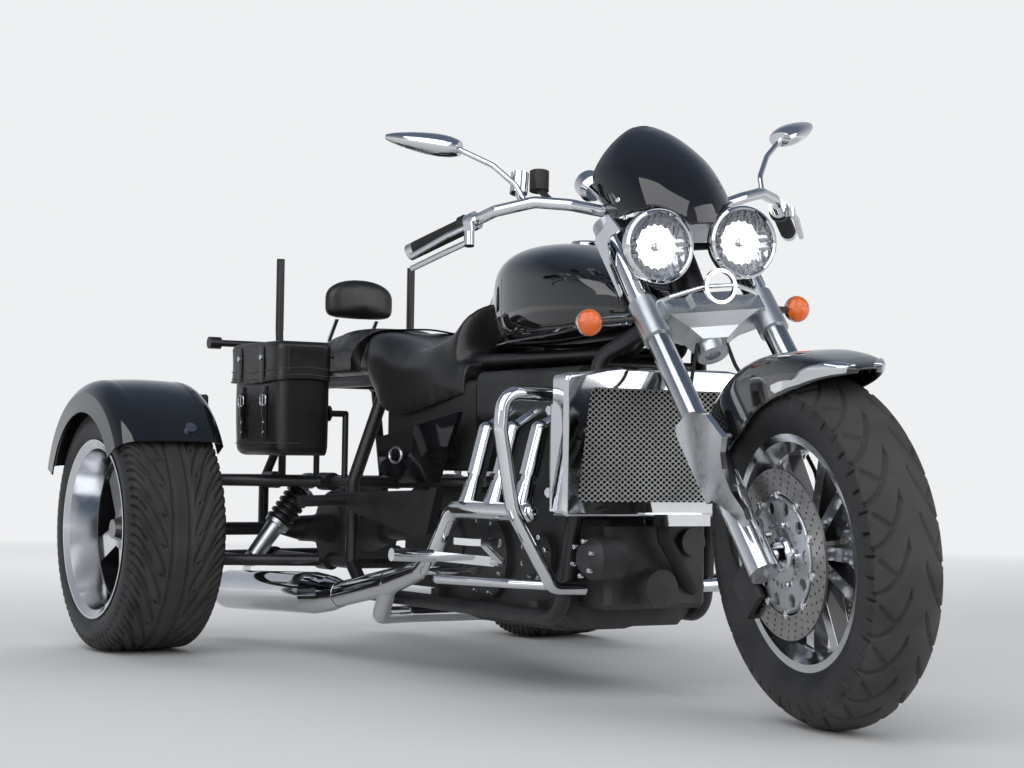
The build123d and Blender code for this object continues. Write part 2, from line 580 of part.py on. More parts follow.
bezel = plate_yz([
    (RADIATOR_HALF_W, RADIATOR_LOW), (RADIATOR_HALF_W, RADIATOR_HIGH + 8),
    (RADIATOR_HALF_W * 0.5, RADIATOR_HIGH + RADIATOR_HUMP),
], bezel_back, bezel_front, 14)
bezel = fillet(bezel.faces().sort_by(Axis.X)[-1].edges(), 9)
bezel = bezel - plate_yz(WINDOW, bezel_back - 1, bezel_front + 1, 14)
wing_piece = block(RADIATOR_X, bezel_back, WING_IN, WING_OUT, RADIATOR_LOW + 10, RADIATOR_HIGH - 52)
wing_piece = fillet(wing_piece.edges().filter_by(Axis.Z).sort_by(Axis.Y)[-2:], 12)
brackets = both(block(RADIATOR_X - 10, RADIATOR_X + 4, 239, 258, 590, 608)
                + rod((392, 160, 601), (408, 258, 601), 8)
                + rod((388, 170, 430), (408, 258, 430), 8)
                + block(RADIATOR_X - 10, RADIATOR_X + 4, 239, 258, 420, 440))
low_box = block(bezel_front - 6, bezel_front + 28, -74, 70, RADIATOR_LOW - 18, RADIATOR_LOW + 6)
shroud = bezel + both(wing_piece) + low_box + brackets
shroud = shroud - cradle_pipe - mirror(cradle_pipe, about=Plane.XZ)
keep("radiator_shroud", shroud)
core = block(RADIATOR_X + 4, bezel_back, 0.5 - WING_IN, WING_IN - 0.5, RADIATOR_LOW + 14, RADIATOR_HIGH - 4)
keep("radiator_core", core)

# Engine: sump, crankcase, barrels and head in line, with round covers on the sides and front
case_half = CRADLE_Y - 12
case = block(-230, 330, -case_half, case_half, ENGINE_BOTTOM, 420)
case = chamfer(case.edges().filter_by(Axis.X), 30)
barrels = block(-60, 340, -104, 104, 420, 600)
head_block = fillet(block(-78, 352, -150, 150, 585, 700).edges().filter_by(Axis.X), 22)
sump = loft([Pos(20, 0, ENGINE_BOTTOM + 1) * Rectangle(420, 250),
             Pos(20, 0, ENGINE_BOTTOM - 18) * Rectangle(340, 170)])
gearbox = block(-420, -230, -150, 150, 190, 430)
gearbox = chamfer(gearbox.edges().filter_by(Axis.X), 24)
airbox = block(-540, -100, -140, 140, 470, SEAT_RAIL_Z - BACK_R - CLEAR)
airbox = fillet(airbox.edges().filter_by(Axis.X), 18)
pinion = Pos(-420, 0, REAR_AXLE_Z) * Rotation(0, 90, 0) * Cylinder(46, 40)
front_cover = chamfer(block(320, COVER_FRONT, -128, 128, 186, 372).edges(), 12)
filter_can = Pos(COVER_FRONT - 20, -20, 232) * Rotation(0, 90, 0) * Cylinder(40, 66, align=CMIN)
engine = case + barrels + head_block + sump + gearbox + pinion + front_cover
engine = engine + filter_can
for x in (240, -200):
    mount = block(x - 18, x + 18, case_half - 40, CRADLE_Y + 14, 176, 196)
    mount = mount - rod((x - 30, CRADLE_Y + 14, 164), (x + 30, CRADLE_Y + 14, 164), 17)
    engine = engine + mount + mirror(mount, about=Plane.XZ)
horn = Pos(COVER_FRONT, 79, 328) * Rotation(0, 90, 0) * (
    Cylinder(9, 7, align=CMIN) + Pos(0, 0, 7) * Cylinder(30, 12, align=CMIN)
)
engine = engine + horn
keep("engine_block", engine)
coolant = pipe([
    (476, -14, RADIATOR_LOW), (478, -12, 336), (472, 26, 286), (450, 72, 240), (COVER_FRONT - 8, 92, 226),
], 15, [24, 30, 26])
keep("coolant_hose", coolant - engine - shroud)
airbox = airbox - frame - engine
keep("airbox", airbox)


def side_cover(x, z, r, depth, y0):
    """A round cover on the engine's side with a domed outer face."""
    return Pos(x, y0, z) * Rotation(-90, 0, 0) * (
        Cylinder(r, depth * 0.5, align=CMIN)
        + Pos(0, 0, depth * 0.5) * Cone(r, r * 0.72, depth * 0.5, align=CMIN)
    )


left_cover = side_cover(250, 290, 52, 40, case_half) + side_cover(20, 280, 92, 34, case_half)
left_cover = left_cover + side_cover(-160, 290, 66, 26, case_half)
pump_cover = Pos(462, -118, 296) * Rotation(90, 0, 0) * (
    Cylinder(44, 62, align=CMIN) + Pos(0, 0, 62) * Cone(44, 28, 22, align=CMIN)
)
covers = both(left_cover) + pump_cover
keep("engine_covers", covers - frame - engine)

# Exhaust: three covered pipes on the right into a manifold, a silencer low on each side
exhaust = pipe([(338, -259, 386), (16, -259, 386), (-52, -264, 290), (-132, -259.6, 243)], 21, [46, 50])
for x in HEADER_STATIONS:
    exhaust = exhaust + rod((x, -211, 561), (x, -238, 462), HEADER_R) + Pos(x, -211, 561) * Sphere(HEADER_R)
    exhaust = exhaust + rod((x, -140, 606), (x, -211, 561), HEADER_R - 5)
    exhaust = exhaust + rod((x, -238, 462), (x, -243, 444), HEADER_R - 5)
    exhaust = exhaust + cone((x, -242, 448), (x, -255, 398), HEADER_R - 2, HEADER_R + 5)
exhaust = exhaust + Pos(-132, -259.6, 243) * Sphere(21.5) + Pos(338, -259, 386) * Sphere(21.5)
exhaust = exhaust + cone((-132, -259.6, 243), (-300, -SILENCER_Y, 207), 21, 30)
for s in (1, -1):
    exhaust = exhaust + Pos(-300, s * SILENCER_Y, 207) * Sphere(31)
    exhaust = exhaust + rod((-300, s * SILENCER_Y, 207), (-560, s * SILENCER_Y, 162), 31)
exhaust = exhaust + pipe([
    (-300, -SILENCER_Y, 207), (-395, -228, 120), (-470, -120, 116), (-470, 120, 116), (-395, 228, 120),
    (-300, SILENCER_Y, 207),
], 21, 40)
keep("header_pipes", exhaust - head_block)
CAN_FRONT, CAN_REAR = (-560.0, 162.0), (-1312.0, 130.0)
can_dir = Vector(CAN_REAR[0] - CAN_FRONT[0], 0, CAN_REAR[1] - CAN_FRONT[1])
can_len = can_dir.length
can = revolve(make_face(Polyline(
    (0, 0), (32, 0), (44, 60), (SILENCER_R, 150), (SILENCER_R, can_len - 60), (SILENCER_R - 10, can_len),
    (SILENCER_R - 16, can_len), (SILENCER_R - 16, can_len - 90), (0, can_len - 90), close=True
)), axis=Axis.Y)
can = Plane(origin=(CAN_FRONT[0], SILENCER_Y, CAN_FRONT[1]), z_dir=tuple(can_dir)) * Rotation(90, 0, 0) * can
hanger_tab = block(-1206, -1194, SILENCER_Y - 30, SILENCER_Y - 12, 166, 224)
hanger_tab = hanger_tab + block(-1206, -1194, RAIL_Y + 4, SILENCER_Y - 12, 206, 224)
cans = both(can + hanger_tab)
cans = cans - exhaust - sub
keep("silencers", cans)

# Tank and seats
tank_stations = [
    (-256, 14, 795, 866), (-185, 49, 758, 922), (-80, 108, 752, 955), (20, 164, 752, 978),
    (110, 187, 752, 986),
    (220, 192, 754, 976), (330, 174, 762, 940), (410, 132, 776, 898), (452, 74, 792, 858),
]


def tank_section(x, half_w, low, high):
    """One station along the tank: upright rounded sides up to a shoulder that falls forward, and a domed top."""
    shoulder = min(915 - (x + 100) * 0.15, high - 0.14 * (high - low))
    face = make_face([
        Line((-0.86 * half_w, low), (0.86 * half_w, low)),
        ThreePointArc((0.86 * half_w, low), (half_w, (low + shoulder) / 2), (0.9 * half_w, shoulder)),
        ThreePointArc((0.9 * half_w, shoulder), (0, high), (-0.9 * half_w, shoulder)),
        ThreePointArc((-0.9 * half_w, shoulder), (-half_w, (low + shoulder) / 2), (-0.86 * half_w, low)),
    ])
    return Plane(origin=(x, 0, 0), x_dir=(0, 1, 0), z_dir=(1, 0, 0)) * face


tank = loft([tank_section(*station) for station in tank_stations])
tank = tank - block(-300, 470, -85, 85, 700, 775)
for x, y in ((200, 72), (-100, 84)):
    tank = tank + both(block(x - 14, x + 14, y - 9, y + 9, TANK_RAIL_Z + 5, 790))
tank = tank - frame - engine
tank = tank - rod(head_point(low_t), head_point(up_t), HEAD_R + 12) - block(420, 520, -120, 120, 700, 1000)
keep("fuel_tank", tank)
SEAT_HALF_W = 157.0
seat_low = SEAT_RAIL_Z + BACK_R + CLEAR
rider_profile = [(-672, seat_low), (-668, 819), (-632, 822), (-540, 802), (-460, 780), (-380, 768),
                 (-262, 772),
                 (-256, 750), (-330, 736), (-420, seat_low)]
rider_seat = plate_xz(rider_profile, -SEAT_HALF_W, SEAT_HALF_W)
skirt = plate_xz([(-572, seat_low + 4), (-572, 645), (-520, 598), (-450, 593), (-142, 636), (-152, 700),
                  (-256, 752),
                  (-300, 752)], SEAT_HALF_W - 14, SEAT_HALF_W)
nose = plate_xz([(-350, 745), (-345, 772), (-300, 800), (-268, 850), (-242, 870), (-206, 872), (-206, 748)],
                -52, 52)
rider_seat = rider_seat + both(skirt) + nose
rider_seat = rider_seat - frame - tank
keep("rider_seat", rider_seat)
SEAT_SPLIT = -672.0
pillion_long = SEAT_SPLIT - POST_X
pillion_profile = [
    (SEAT_SPLIT - 2, seat_low), (SEAT_SPLIT + 2, 820), (SEAT_SPLIT - 0.125 * pillion_long, 832),
    (SEAT_SPLIT - 0.54 * pillion_long, 836), (POST_X + 47, 816), (POST_X + 11, 790), (POST_X + 11, seat_low),
]
pillion = plate_xz(pillion_profile, -126, 126)
keep("passenger_seat", pillion)
pad = block(POST_X + 27, POST_X + 89, -106, 106, 876, 992)
pad = fillet(pad.edges().filter_by(Axis.X).sort_by(Axis.Z)[-2:], 44)
pad = fillet(pad.edges().filter_by(Axis.X).sort_by(Axis.Z)[:2], 18)
pad = fillet(pad.faces().sort_by(Axis.X)[-1].edges(), 14)
pad = fillet(pad.faces().sort_by(Axis.X)[0].edges(), 14)
keep("backrest_pad", pad)
post = pipe([(POST_X, 60, SEAT_RAIL_Z), (POST_X, 60, 820), (POST_X + 47, 60, 876)], 6, 30)
posts = both(post)
keep("backrest_posts", posts - frame - pad)
panel = plate_xz([(-505, 548), (-88, 606), (-196, 442), (-400, 438), (-482, 470)], 180, 192)
panel_lugs = both(block(-420, -390, 139, 181, 500, 530) + block(-220, -190, 139, 181, 500, 530))
keep("side_panels", both(panel) + panel_lugs - airbox - frame)

# Rear drive and suspension
housing = Pos(REAR_AXLE_X, 0, REAR_AXLE_Z) * Rotation(90, 0, 0) * Cylinder(104, 170)
housing = fillet(housing.edges(), 26)
nose = cone((REAR_AXLE_X + 80, 0, REAR_AXLE_Z), (REAR_AXLE_X + 190, 0, REAR_AXLE_Z), 62, 36)
flanges = rod((REAR_AXLE_X, -122, REAR_AXLE_Z), (REAR_AXLE_X, 122, REAR_AXLE_Z), 38)
lugs = block(REAR_AXLE_X - 75, REAR_AXLE_X + 75, -40, 40, REAR_AXLE_Z + 80, UPPER_ARM_Z - 6)
prop = rod((REAR_AXLE_X + 190, 0, REAR_AXLE_Z), (-440, 0, REAR_AXLE_Z), 22)
final_drive = housing + nose + flanges + lugs + prop - engine
final_drive = final_drive - sub - frame
keep("final_drive", final_drive)

ARM_FRONT_IN, ARM_FRONT_OUT = -790.0, -915.0
ARM_REAR_IN, ARM_REAR_OUT = -1140.0, -1070.0
BALL_Y = CARRIER_Y - 8
arms = []
for z in (UPPER_ARM_Z, LOWER_ARM_Z):
    arm = rod((ARM_FRONT_IN, RAIL_Y, z), (ARM_FRONT_OUT, BALL_Y, z), ARM_R)
    arm = arm + rod((ARM_REAR_IN, RAIL_Y, z), (ARM_REAR_OUT, BALL_Y, z), ARM_R)
    arm = arm + rod((ARM_FRONT_OUT, BALL_Y, z), (ARM_REAR_OUT, BALL_Y, z), ARM_R - 1)
    arm = arm + Pos(ARM_FRONT_OUT, BALL_Y, z) * Sphere(ARM_R + 2) + Pos(ARM_REAR_OUT, BALL_Y,
                                                                        z) * Sphere(ARM_R + 2)
    for x in (ARM_FRONT_IN, ARM_REAR_IN):
        arm = arm + rod((x - 32, RAIL_Y, z), (x + 32, RAIL_Y, z), 23)
    arms.append(arm - rod((ARM_FRONT_IN + 60, RAIL_Y, z), (ARM_REAR_IN - 60, RAIL_Y, z), 14))
SHOCK_X = -906.0
SHOCK_LOW = (SHOCK_X, 345.0, LOWER_ARM_Z)
SHOCK_HIGH = (SHOCK_X, RAIL_Y, UPPER_ARM_Z)
lower_arm = arms[1] + rod((-864, 345, LOWER_ARM_Z), (-1107, 345, LOWER_ARM_Z), 10)
wishbones = both(arms[0]) + both(lower_arm)
keep("wishbones", wishbones)


def on_shock(a, b, r1, r2):
    """A round length of the damper, from share a to share b of the way up it."""
    low, high = Vector(*SHOCK_LOW), Vector(*SHOCK_HIGH)
    return cone(tuple(low + (high - low) * a), tuple(low + (high - low) * b), r1, r2)


damper = rod((SHOCK_X - 13, 345, LOWER_ARM_Z), (SHOCK_X + 13, 345, LOWER_ARM_Z), 18)
damper = damper + rod((SHOCK_X - 13, RAIL_Y, UPPER_ARM_Z), (SHOCK_X + 13, RAIL_Y, UPPER_ARM_Z), 21)
damper = damper + on_shock(0.04, 0.42, 21, 24) + on_shock(0.42, 0.46, 33, 33.5) + on_shock(0.46, 0.96, 10, 11)
damper = damper + on_shock(0.86, 0.9, 33, 33.5)
damper = damper - upper_rail - rod((-864, 345, LOWER_ARM_Z), (-1107, 345, LOWER_ARM_Z), 10)
damper = both(damper)
keep("dampers", damper)
spring_low = Vector(*SHOCK_LOW) + (Vector(*SHOCK_HIGH) - Vector(*SHOCK_LOW)) * 0.46
spring_len = (Vector(*SHOCK_HIGH) - Vector(*SHOCK_LOW)).length * 0.4
coils = 6
coil_pts = [(14, 0)]
for i in range(coils):
    a = spring_len * i / coils
    b = spring_len / coils
    coil_pts = coil_pts + [(27, a + 0.05 * b), (35, a + 0.3 * b), (35, a + 0.65 * b), (27, a + 0.9 * b)]
coil_pts = coil_pts + [(14, spring_len)]
spring = revolve(make_face(Polyline(*coil_pts, close=True)), axis=Axis.Y)
spring = Plane(
    origin=tuple(spring_low), z_dir=tuple(Vector(*SHOCK_HIGH) - Vector(*SHOCK_LOW))
) * Rotation(90, 0, 0) * spring
keep("shock_springs", both(spring) - damper)

# Rear wheels, built about their own centres with +Y outward
half = REAR_TYRE_W / 2
seat = REAR_RIM_W / 2 - 10
rear_tyre = revolve(make_face([
    Polyline((REAR_BEAD_R, -seat), (REAR_BEAD_R, seat)),
    ThreePointArc((REAR_BEAD_R, seat), (252, half), (284, half - 6)),
    ThreePointArc((284, half - 6), (300, half - 14), (304, half - 30)),
    ThreePointArc((304, half - 30), (REAR_TYRE_R, 0), (304, -half + 30)),
    ThreePointArc((304, -half + 30), (300, -half + 14), (284, -half + 6)),
    ThreePointArc((284, -half + 6), (252, -half), (REAR_BEAD_R, -seat)),
]), axis=Axis.Y)
rim_half = REAR_RIM_W / 2
rear_rim = spun([
    (REAR_BEAD_R, -seat), (REAR_BEAD_R, seat), (REAR_FLANGE_R - 4, seat + 3), (REAR_FLANGE_R, rim_half + 4),
    (REAR_FLANGE_R - 5, rim_half + 4), (REAR_BEAD_R - 10, rim_half - 6), (REAR_BEAD_R - 24, REAR_DISH + 12),
    (REAR_BEAD_R - 24, -30), (REAR_BEAD_R - 8, -rim_half + 10), (REAR_FLANGE_R - 2, -rim_half),
    (REAR_FLANGE_R, -rim_half),
    (REAR_FLANGE_R - 4, -seat - 3),
])
rear_hub = Rotation(-90, 0, 0) * (
    Pos(0, 0, -20) * Cylinder(REAR_HUB_R, REAR_DISH + 40, align=CMIN)
    + Pos(0, 0, REAR_DISH + 20) * Cone(32, 24, 22, align=CMIN)
)
rear_spoke = Pos(0, REAR_DISH - 6, 0) * loft([
    Plane(origin=(REAR_HUB_R - 12, 0, 0), x_dir=(0, 1, 0), z_dir=(1, 0, 0)) * Rectangle(40, 52),
    Plane(origin=(REAR_BEAD_R - 20, 0, 0), x_dir=(0, 1, 0), z_dir=(1, 0, 0)) * Rectangle(26, 62),
])
rear_spokes = [Rotation(0, 360 / REAR_SPOKES * i + 90, 0) * rear_spoke for i in range(REAR_SPOKES)]
rear_rim = rear_rim - rear_tyre + rear_hub + rear_spokes
inner_stub = Rotation(90, 0, 0) * Cylinder(30, 118, align=CMIN)
rear_disc = Pos(0, -78, 0) * Rotation(90, 0, 0) * (Cylinder(140, 6) - Cylinder(29, 7))
rear_rim = rear_rim + inner_stub + rear_disc
half_shaft = Rotation(90, 0, 0) * Pos(0, 0, 118) * (
    Cylinder(SHAFT_R, REAR_Y - 118 - 122.6 - CLEAR, align=CMIN)
)
boots = cone((0, -130, 0), (0, -186, 0), 30, 24) + cone((0, -186, 0), (0, -224, 0), 24, 19)
inner_end = -(REAR_Y - 122 - CLEAR)
boots = boots + cone((0, inner_end, 0), (0, inner_end + 44, 0), 36, 34) + cone((0, inner_end + 44, 0),
                                                                               (0, inner_end + 92, 0), 32, 19)
half_shaft = half_shaft + boots
LEFT = Pos(REAR_AXLE_X, REAR_Y, REAR_AXLE_Z)
for side, name in ((1, "left"), (-1, "right")):
    for label, piece in (("rear_tyre_", rear_tyre), ("rear_rim_", rear_rim), ("half_shaft_", half_shaft)):
        placed = LEFT * piece
        keep(label + name, placed if side == 1 else mirror(placed, about=Plane.XZ))

upright = block(REAR_AXLE_X - 58, REAR_AXLE_X + 58, CARRIER_Y - 16, CARRIER_Y + 12, LOWER_ARM_Z - 26,
                UPPER_ARM_Z + 26)
upright = fillet(upright.edges().filter_by(Axis.Y), 22)
upright = upright + rod((REAR_AXLE_X, CARRIER_Y - 30, REAR_AXLE_Z),
                        (REAR_AXLE_X, CARRIER_Y + 20, REAR_AXLE_Z), 48)
upright = upright - rod((REAR_AXLE_X, CARRIER_Y - 60, REAR_AXLE_Z),
                        (REAR_AXLE_X, CARRIER_Y + 60, REAR_AXLE_Z), 30 + RUNNING_FIT)
STAY_Z = REAR_AXLE_Z + 340
for x in (REAR_AXLE_X + 40, REAR_AXLE_X - 40):
    upright = upright + rod((x, CARRIER_Y, UPPER_ARM_Z + 20), (x, CARRIER_Y, STAY_Z), 9) + Pos(x, CARRIER_Y,
                                                                                               STAY_Z) * Sphere(9)
    upright = upright + rod((x, CARRIER_Y, STAY_Z), (x, REAR_Y - 138.3, STAY_Z), 8)

# Rear mudguards: each a domed shell turned about a centre behind and above its wheel, so it dips at the front
FENDER_AT = (-39.0, 61.0)
FENDER_R = 323.0
FENDER_FRONT, FENDER_REAR = 30.5, 162.0
fw = 4.0
fr = FENDER_R


def fender_skin(d):
    """The mudguard's section as (radius, width) points, d in from its outer face."""
    return [
        (fr - 88, 146 - d), (fr - 38 - 0.6 * d, 142 - 0.9 * d), (fr - 14 - 0.9 * d, 120 - 0.5 * d),
        (fr - 4 - d, 80),
        (fr - d, -10), (fr - 3 - d, -90), (fr - 9 - 0.9 * d, -122 + 0.6 * d), (fr - 25 - 0.4 * d, -138 + d),
        (fr - 61, -138 + d),
    ]


def skin_edges(p):
    """The arcs and lines through one skin's points."""
    return [Line(p[0], p[1]), ThreePointArc(p[1], p[2], p[3]), ThreePointArc(p[3], p[4], p[5]),
            ThreePointArc(p[5], p[6], p[7]), Line(p[7], p[8])]


outer_skin, inner_skin = fender_skin(0.0), fender_skin(fw)
fender_face = make_face(
    skin_edges(outer_skin) + skin_edges(inner_skin)
    + [Line(outer_skin[0], inner_skin[0]), Line(outer_skin[-1], inner_skin[-1])]
)
AT_FENDER = LEFT * Pos(FENDER_AT[0], 0, FENDER_AT[1])
fender = revolve(fender_face, axis=Axis.Y, revolution_arc=FENDER_REAR - FENDER_FRONT)
fender = AT_FENDER * Rotation(0, -FENDER_REAR, 0) * fender
fenders = both(fender)
keep("rear_fenders", fenders)
for z in (UPPER_ARM_Z, LOWER_ARM_Z):
    upright = upright - rod((ARM_FRONT_OUT, BALL_Y, z), (ARM_REAR_OUT, BALL_Y, z), ARM_R - 1)
    for x in (ARM_FRONT_OUT, ARM_REAR_OUT):
        upright = upright - Pos(x, BALL_Y, z) * Sphere(ARM_R + 2)
keep("hub_carriers", both(upright))


def on_fender(angle, y_local, shape):
    """A lamp standing square on the rear mudguard at an angle round its centre."""
    return AT_FENDER * Rotation(0, 90 - angle, 0) * Pos(0, y_local, FENDER_R) * shape


marker = on_fender(37, -48, Pos(0, 0, -2) * Cylinder(14, 9, align=CMIN))
tail = on_fender(151, 0, Pos(0, 0, -2) * Cylinder(20, 11, align=CMIN)
                 + Pos(0, 0, 9) * Cylinder(32, 20, align=CMIN))
marker = marker - fender
tail = tail - fender
keep("rear_lamps", both(marker + tail))

# Saddlebags with lids hinged along their inner top edges
bag_void = block(BAG_REAR + BAG_WALL, BAG_FRONT - BAG_WALL, BAG_INNER + BAG_WALL, BAG_OUTER - BAG_WALL,
                 BAG_LOW + BAG_WALL, BAG_RIM + 40)
bag = block(BAG_REAR, BAG_FRONT, BAG_INNER, BAG_OUTER, BAG_LOW, BAG_RIM)
bag = chamfer(bag.edges().filter_by(Axis.Z), 10)
bag = bag - bag_void
for x in (BAG_FRONT - 36, BAG_REAR + 86):
    one = rod((x, RAIL_Y, UPPER_ARM_Z), (x, RAIL_Y, 610), 8) + Pos(x, RAIL_Y, 610) * Sphere(8)
    one = one + rod((x, RAIL_Y, 610), (x, BAG_INNER, 610), 8) + rod((x, BAG_INNER - 6, 610),
                                                                    (x, BAG_INNER, 610), 20)
    sub = sub + both(one)
keep("rear_subframe", sub)
hinge_pin = rod((BAG_REAR + 30, HINGE_Y, BAG_RIM), (BAG_FRONT - 30, HINGE_Y, BAG_RIM), PIN_R)
for x in (BAG_REAR + 30, BAG_REAR + 130, BAG_FRONT - 30 - KNUCKLE_LONG):
    ear = hole_rod((x, HINGE_Y, BAG_RIM), (x + KNUCKLE_LONG, HINGE_Y, BAG_RIM), KNUCKLE_R, PIN_R)
    bag = bag + ear + block(x, x + KNUCKLE_LONG, HINGE_Y, BAG_INNER + 1, BAG_RIM - 8, BAG_RIM - KNUCKLE_R + 1)
bag = bag + hinge_pin
keep("bag_left", bag)
keep("bag_right", mirror(bag, about=Plane.XZ))
lid = block(BAG_REAR - LID_OVER - 4, BAG_FRONT + LID_OVER + 4, BAG_INNER, BAG_OUTER + LID_OVER + 4,
            BAG_RIM - 66, LID_TOP)
lid = chamfer(lid.edges().filter_by(Axis.X).sort_by(Axis.Z)[-2:], 10)
lid = lid - block(BAG_REAR - LID_OVER, BAG_FRONT + LID_OVER, BAG_INNER - 1, BAG_OUTER + LID_OVER,
                  BAG_RIM - 67,
                  BAG_RIM + LID_GAP)
lid = lid - block(BAG_REAR - 20, BAG_FRONT + 20, BAG_INNER - 1, BAG_OUTER - 60, BAG_RIM - 67, BAG_RIM
                  + LID_GAP)
lid = lid - block(BAG_REAR + 3, BAG_FRONT - 3, BAG_INNER + 4, BAG_OUTER - 1, BAG_RIM - 5, LID_TOP - 5)
for x in (BAG_REAR + 30 + KNUCKLE_LONG + CLEAR, BAG_FRONT - 30 - 2 * KNUCKLE_LONG):
    x1 = x + KNUCKLE_LONG - CLEAR
    lid = lid + hole_rod((x, HINGE_Y, BAG_RIM), (x1, HINGE_Y, BAG_RIM), KNUCKLE_R, PIN_R + RUNNING_FIT)
    lid = lid + block(x, x1, HINGE_Y, BAG_INNER + 1, BAG_RIM + KNUCKLE_R - 1, BAG_RIM + 9)
keep("bag_lid_left", lid)
keep("bag_lid_right", mirror(lid, about=Plane.XZ))

# Guards, controls, hangers and the load carrier
guard = pipe([(385, 140, 634), (385, 352, 634), (385, 358, 560), (385, 326, 392), (385, 226, 232),
              (385, 150, 230)],
             15, [40, 60, 90, 30])
guards = both(guard) - frame
keep("engine_guards", guards - engine)
tube_b = pipe([(385, 222, 236), (300, 292, 238), (60, 322, 234), (20, 300, 234)], 10, [60, 12])
pedal_arm = block(70, 356, 340, 352, 276, 296)
pedal_pad = fillet(block(330, 430, 372, 440, 322, 336).edges().filter_by(Axis.Z), 14)
pedal_link = rod((372, 346, 288), (384, 400, 330), 8)
rest_bar = rod((20, 206, 250), (20, 340, 250), 9) + rod((70, 346, 286), (20, 330, 250), 8)
peg = rod((90, 352, 286), (90, 452, 290), 14)
controls = tube_b + pedal_arm + pedal_pad + pedal_link + rest_bar + peg + rod((345, 346, 286),
                                                                              (375, 346, 288), 10)
controls = both(controls) - guards - frame - engine - exhaust
keep("foot_controls", controls)
web = plate_xz([(-575, 412), (-66, 428), (-112, 332), (-164, 314), (-575, 376)], 244, 252)
edge_plate = plate_xz([(-92, 432), (-60, 432), (-106, 326), (-140, 326)], 240, 262)
hanger = web + edge_plate + rod((-130, 150, 370), (-130, 246, 370), 11) + rod((-560, 170, 400),
                                                                              (-560, 246, 396), 11)
peg_rear = rod((-558, 246, 394), (-558, 372, 390), 14)
hangers = both(hanger + peg_rear) - frame - engine - exhaust - sub
keep("passenger_hangers", hangers)
RACK_POST_Y, RACK_R = 200.0, 11.0
rack = pipe([
    (RACK_X, RAIL_Y, UPPER_ARM_Z), (RACK_X, RAIL_Y, 720), (RACK_X, RACK_POST_Y, 820),
    (RACK_X, RACK_POST_Y, 856),
], 10.5, [200, 200])
rack = rack + rod((RACK_X, RACK_POST_Y, 840), (RACK_X, RACK_POST_Y, 1036), RACK_R)
rack = both(rack - upper_rail) + rod((RACK_X, -376, 800), (RACK_X, 376, 800), 9)
rack = rack + both(rod((RACK_X, 372, 800), (RACK_X, 404, 800), 16))
keep("load_carrier", rack)

os.makedirs("parts", exist_ok=True)
for name, shape in nodes.items():
    export_step(shape, f"parts/{name}.step")
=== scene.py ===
"""Looks of a parked motor trike: finishes for its solid parts and surfaces for what they carry.

Metres throughout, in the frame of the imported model: +X forward, +Y to the machine's left, +Z up.
"""
import logging
from collections.abc import Callable
from dataclasses import dataclass, field, replace
from enum import Enum
from math import cos, pi, radians, sin

import bmesh
import bpy
import numpy as np
from mathutils import Matrix, Vector


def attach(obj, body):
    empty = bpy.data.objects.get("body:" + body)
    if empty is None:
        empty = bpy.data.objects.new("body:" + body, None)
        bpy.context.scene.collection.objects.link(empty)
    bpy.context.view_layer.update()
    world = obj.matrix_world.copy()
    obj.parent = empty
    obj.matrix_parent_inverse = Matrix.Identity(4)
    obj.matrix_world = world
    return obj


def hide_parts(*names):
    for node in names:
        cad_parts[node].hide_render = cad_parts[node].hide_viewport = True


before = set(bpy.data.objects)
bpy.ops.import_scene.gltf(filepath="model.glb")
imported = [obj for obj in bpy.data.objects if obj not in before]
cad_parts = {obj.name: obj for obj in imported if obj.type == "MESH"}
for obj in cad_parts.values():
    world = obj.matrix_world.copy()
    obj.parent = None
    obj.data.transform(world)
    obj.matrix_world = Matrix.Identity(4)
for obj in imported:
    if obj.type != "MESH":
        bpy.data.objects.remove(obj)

logging.basicConfig(level=logging.INFO, format="%(message)s")
log = logging.getLogger("trike")

Array = np.ndarray
Node = bpy.types.Node
Point = tuple[float, float, float]
Socket = bpy.types.NodeSocket

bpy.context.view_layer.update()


class Gloss(Enum):
    """How rough a surface is, from mirror-like to matt."""

    MIRROR = 0.035
    POLISHED = 0.1
    SATIN = 0.3
    SOFT = 0.48
    MATT = 0.75


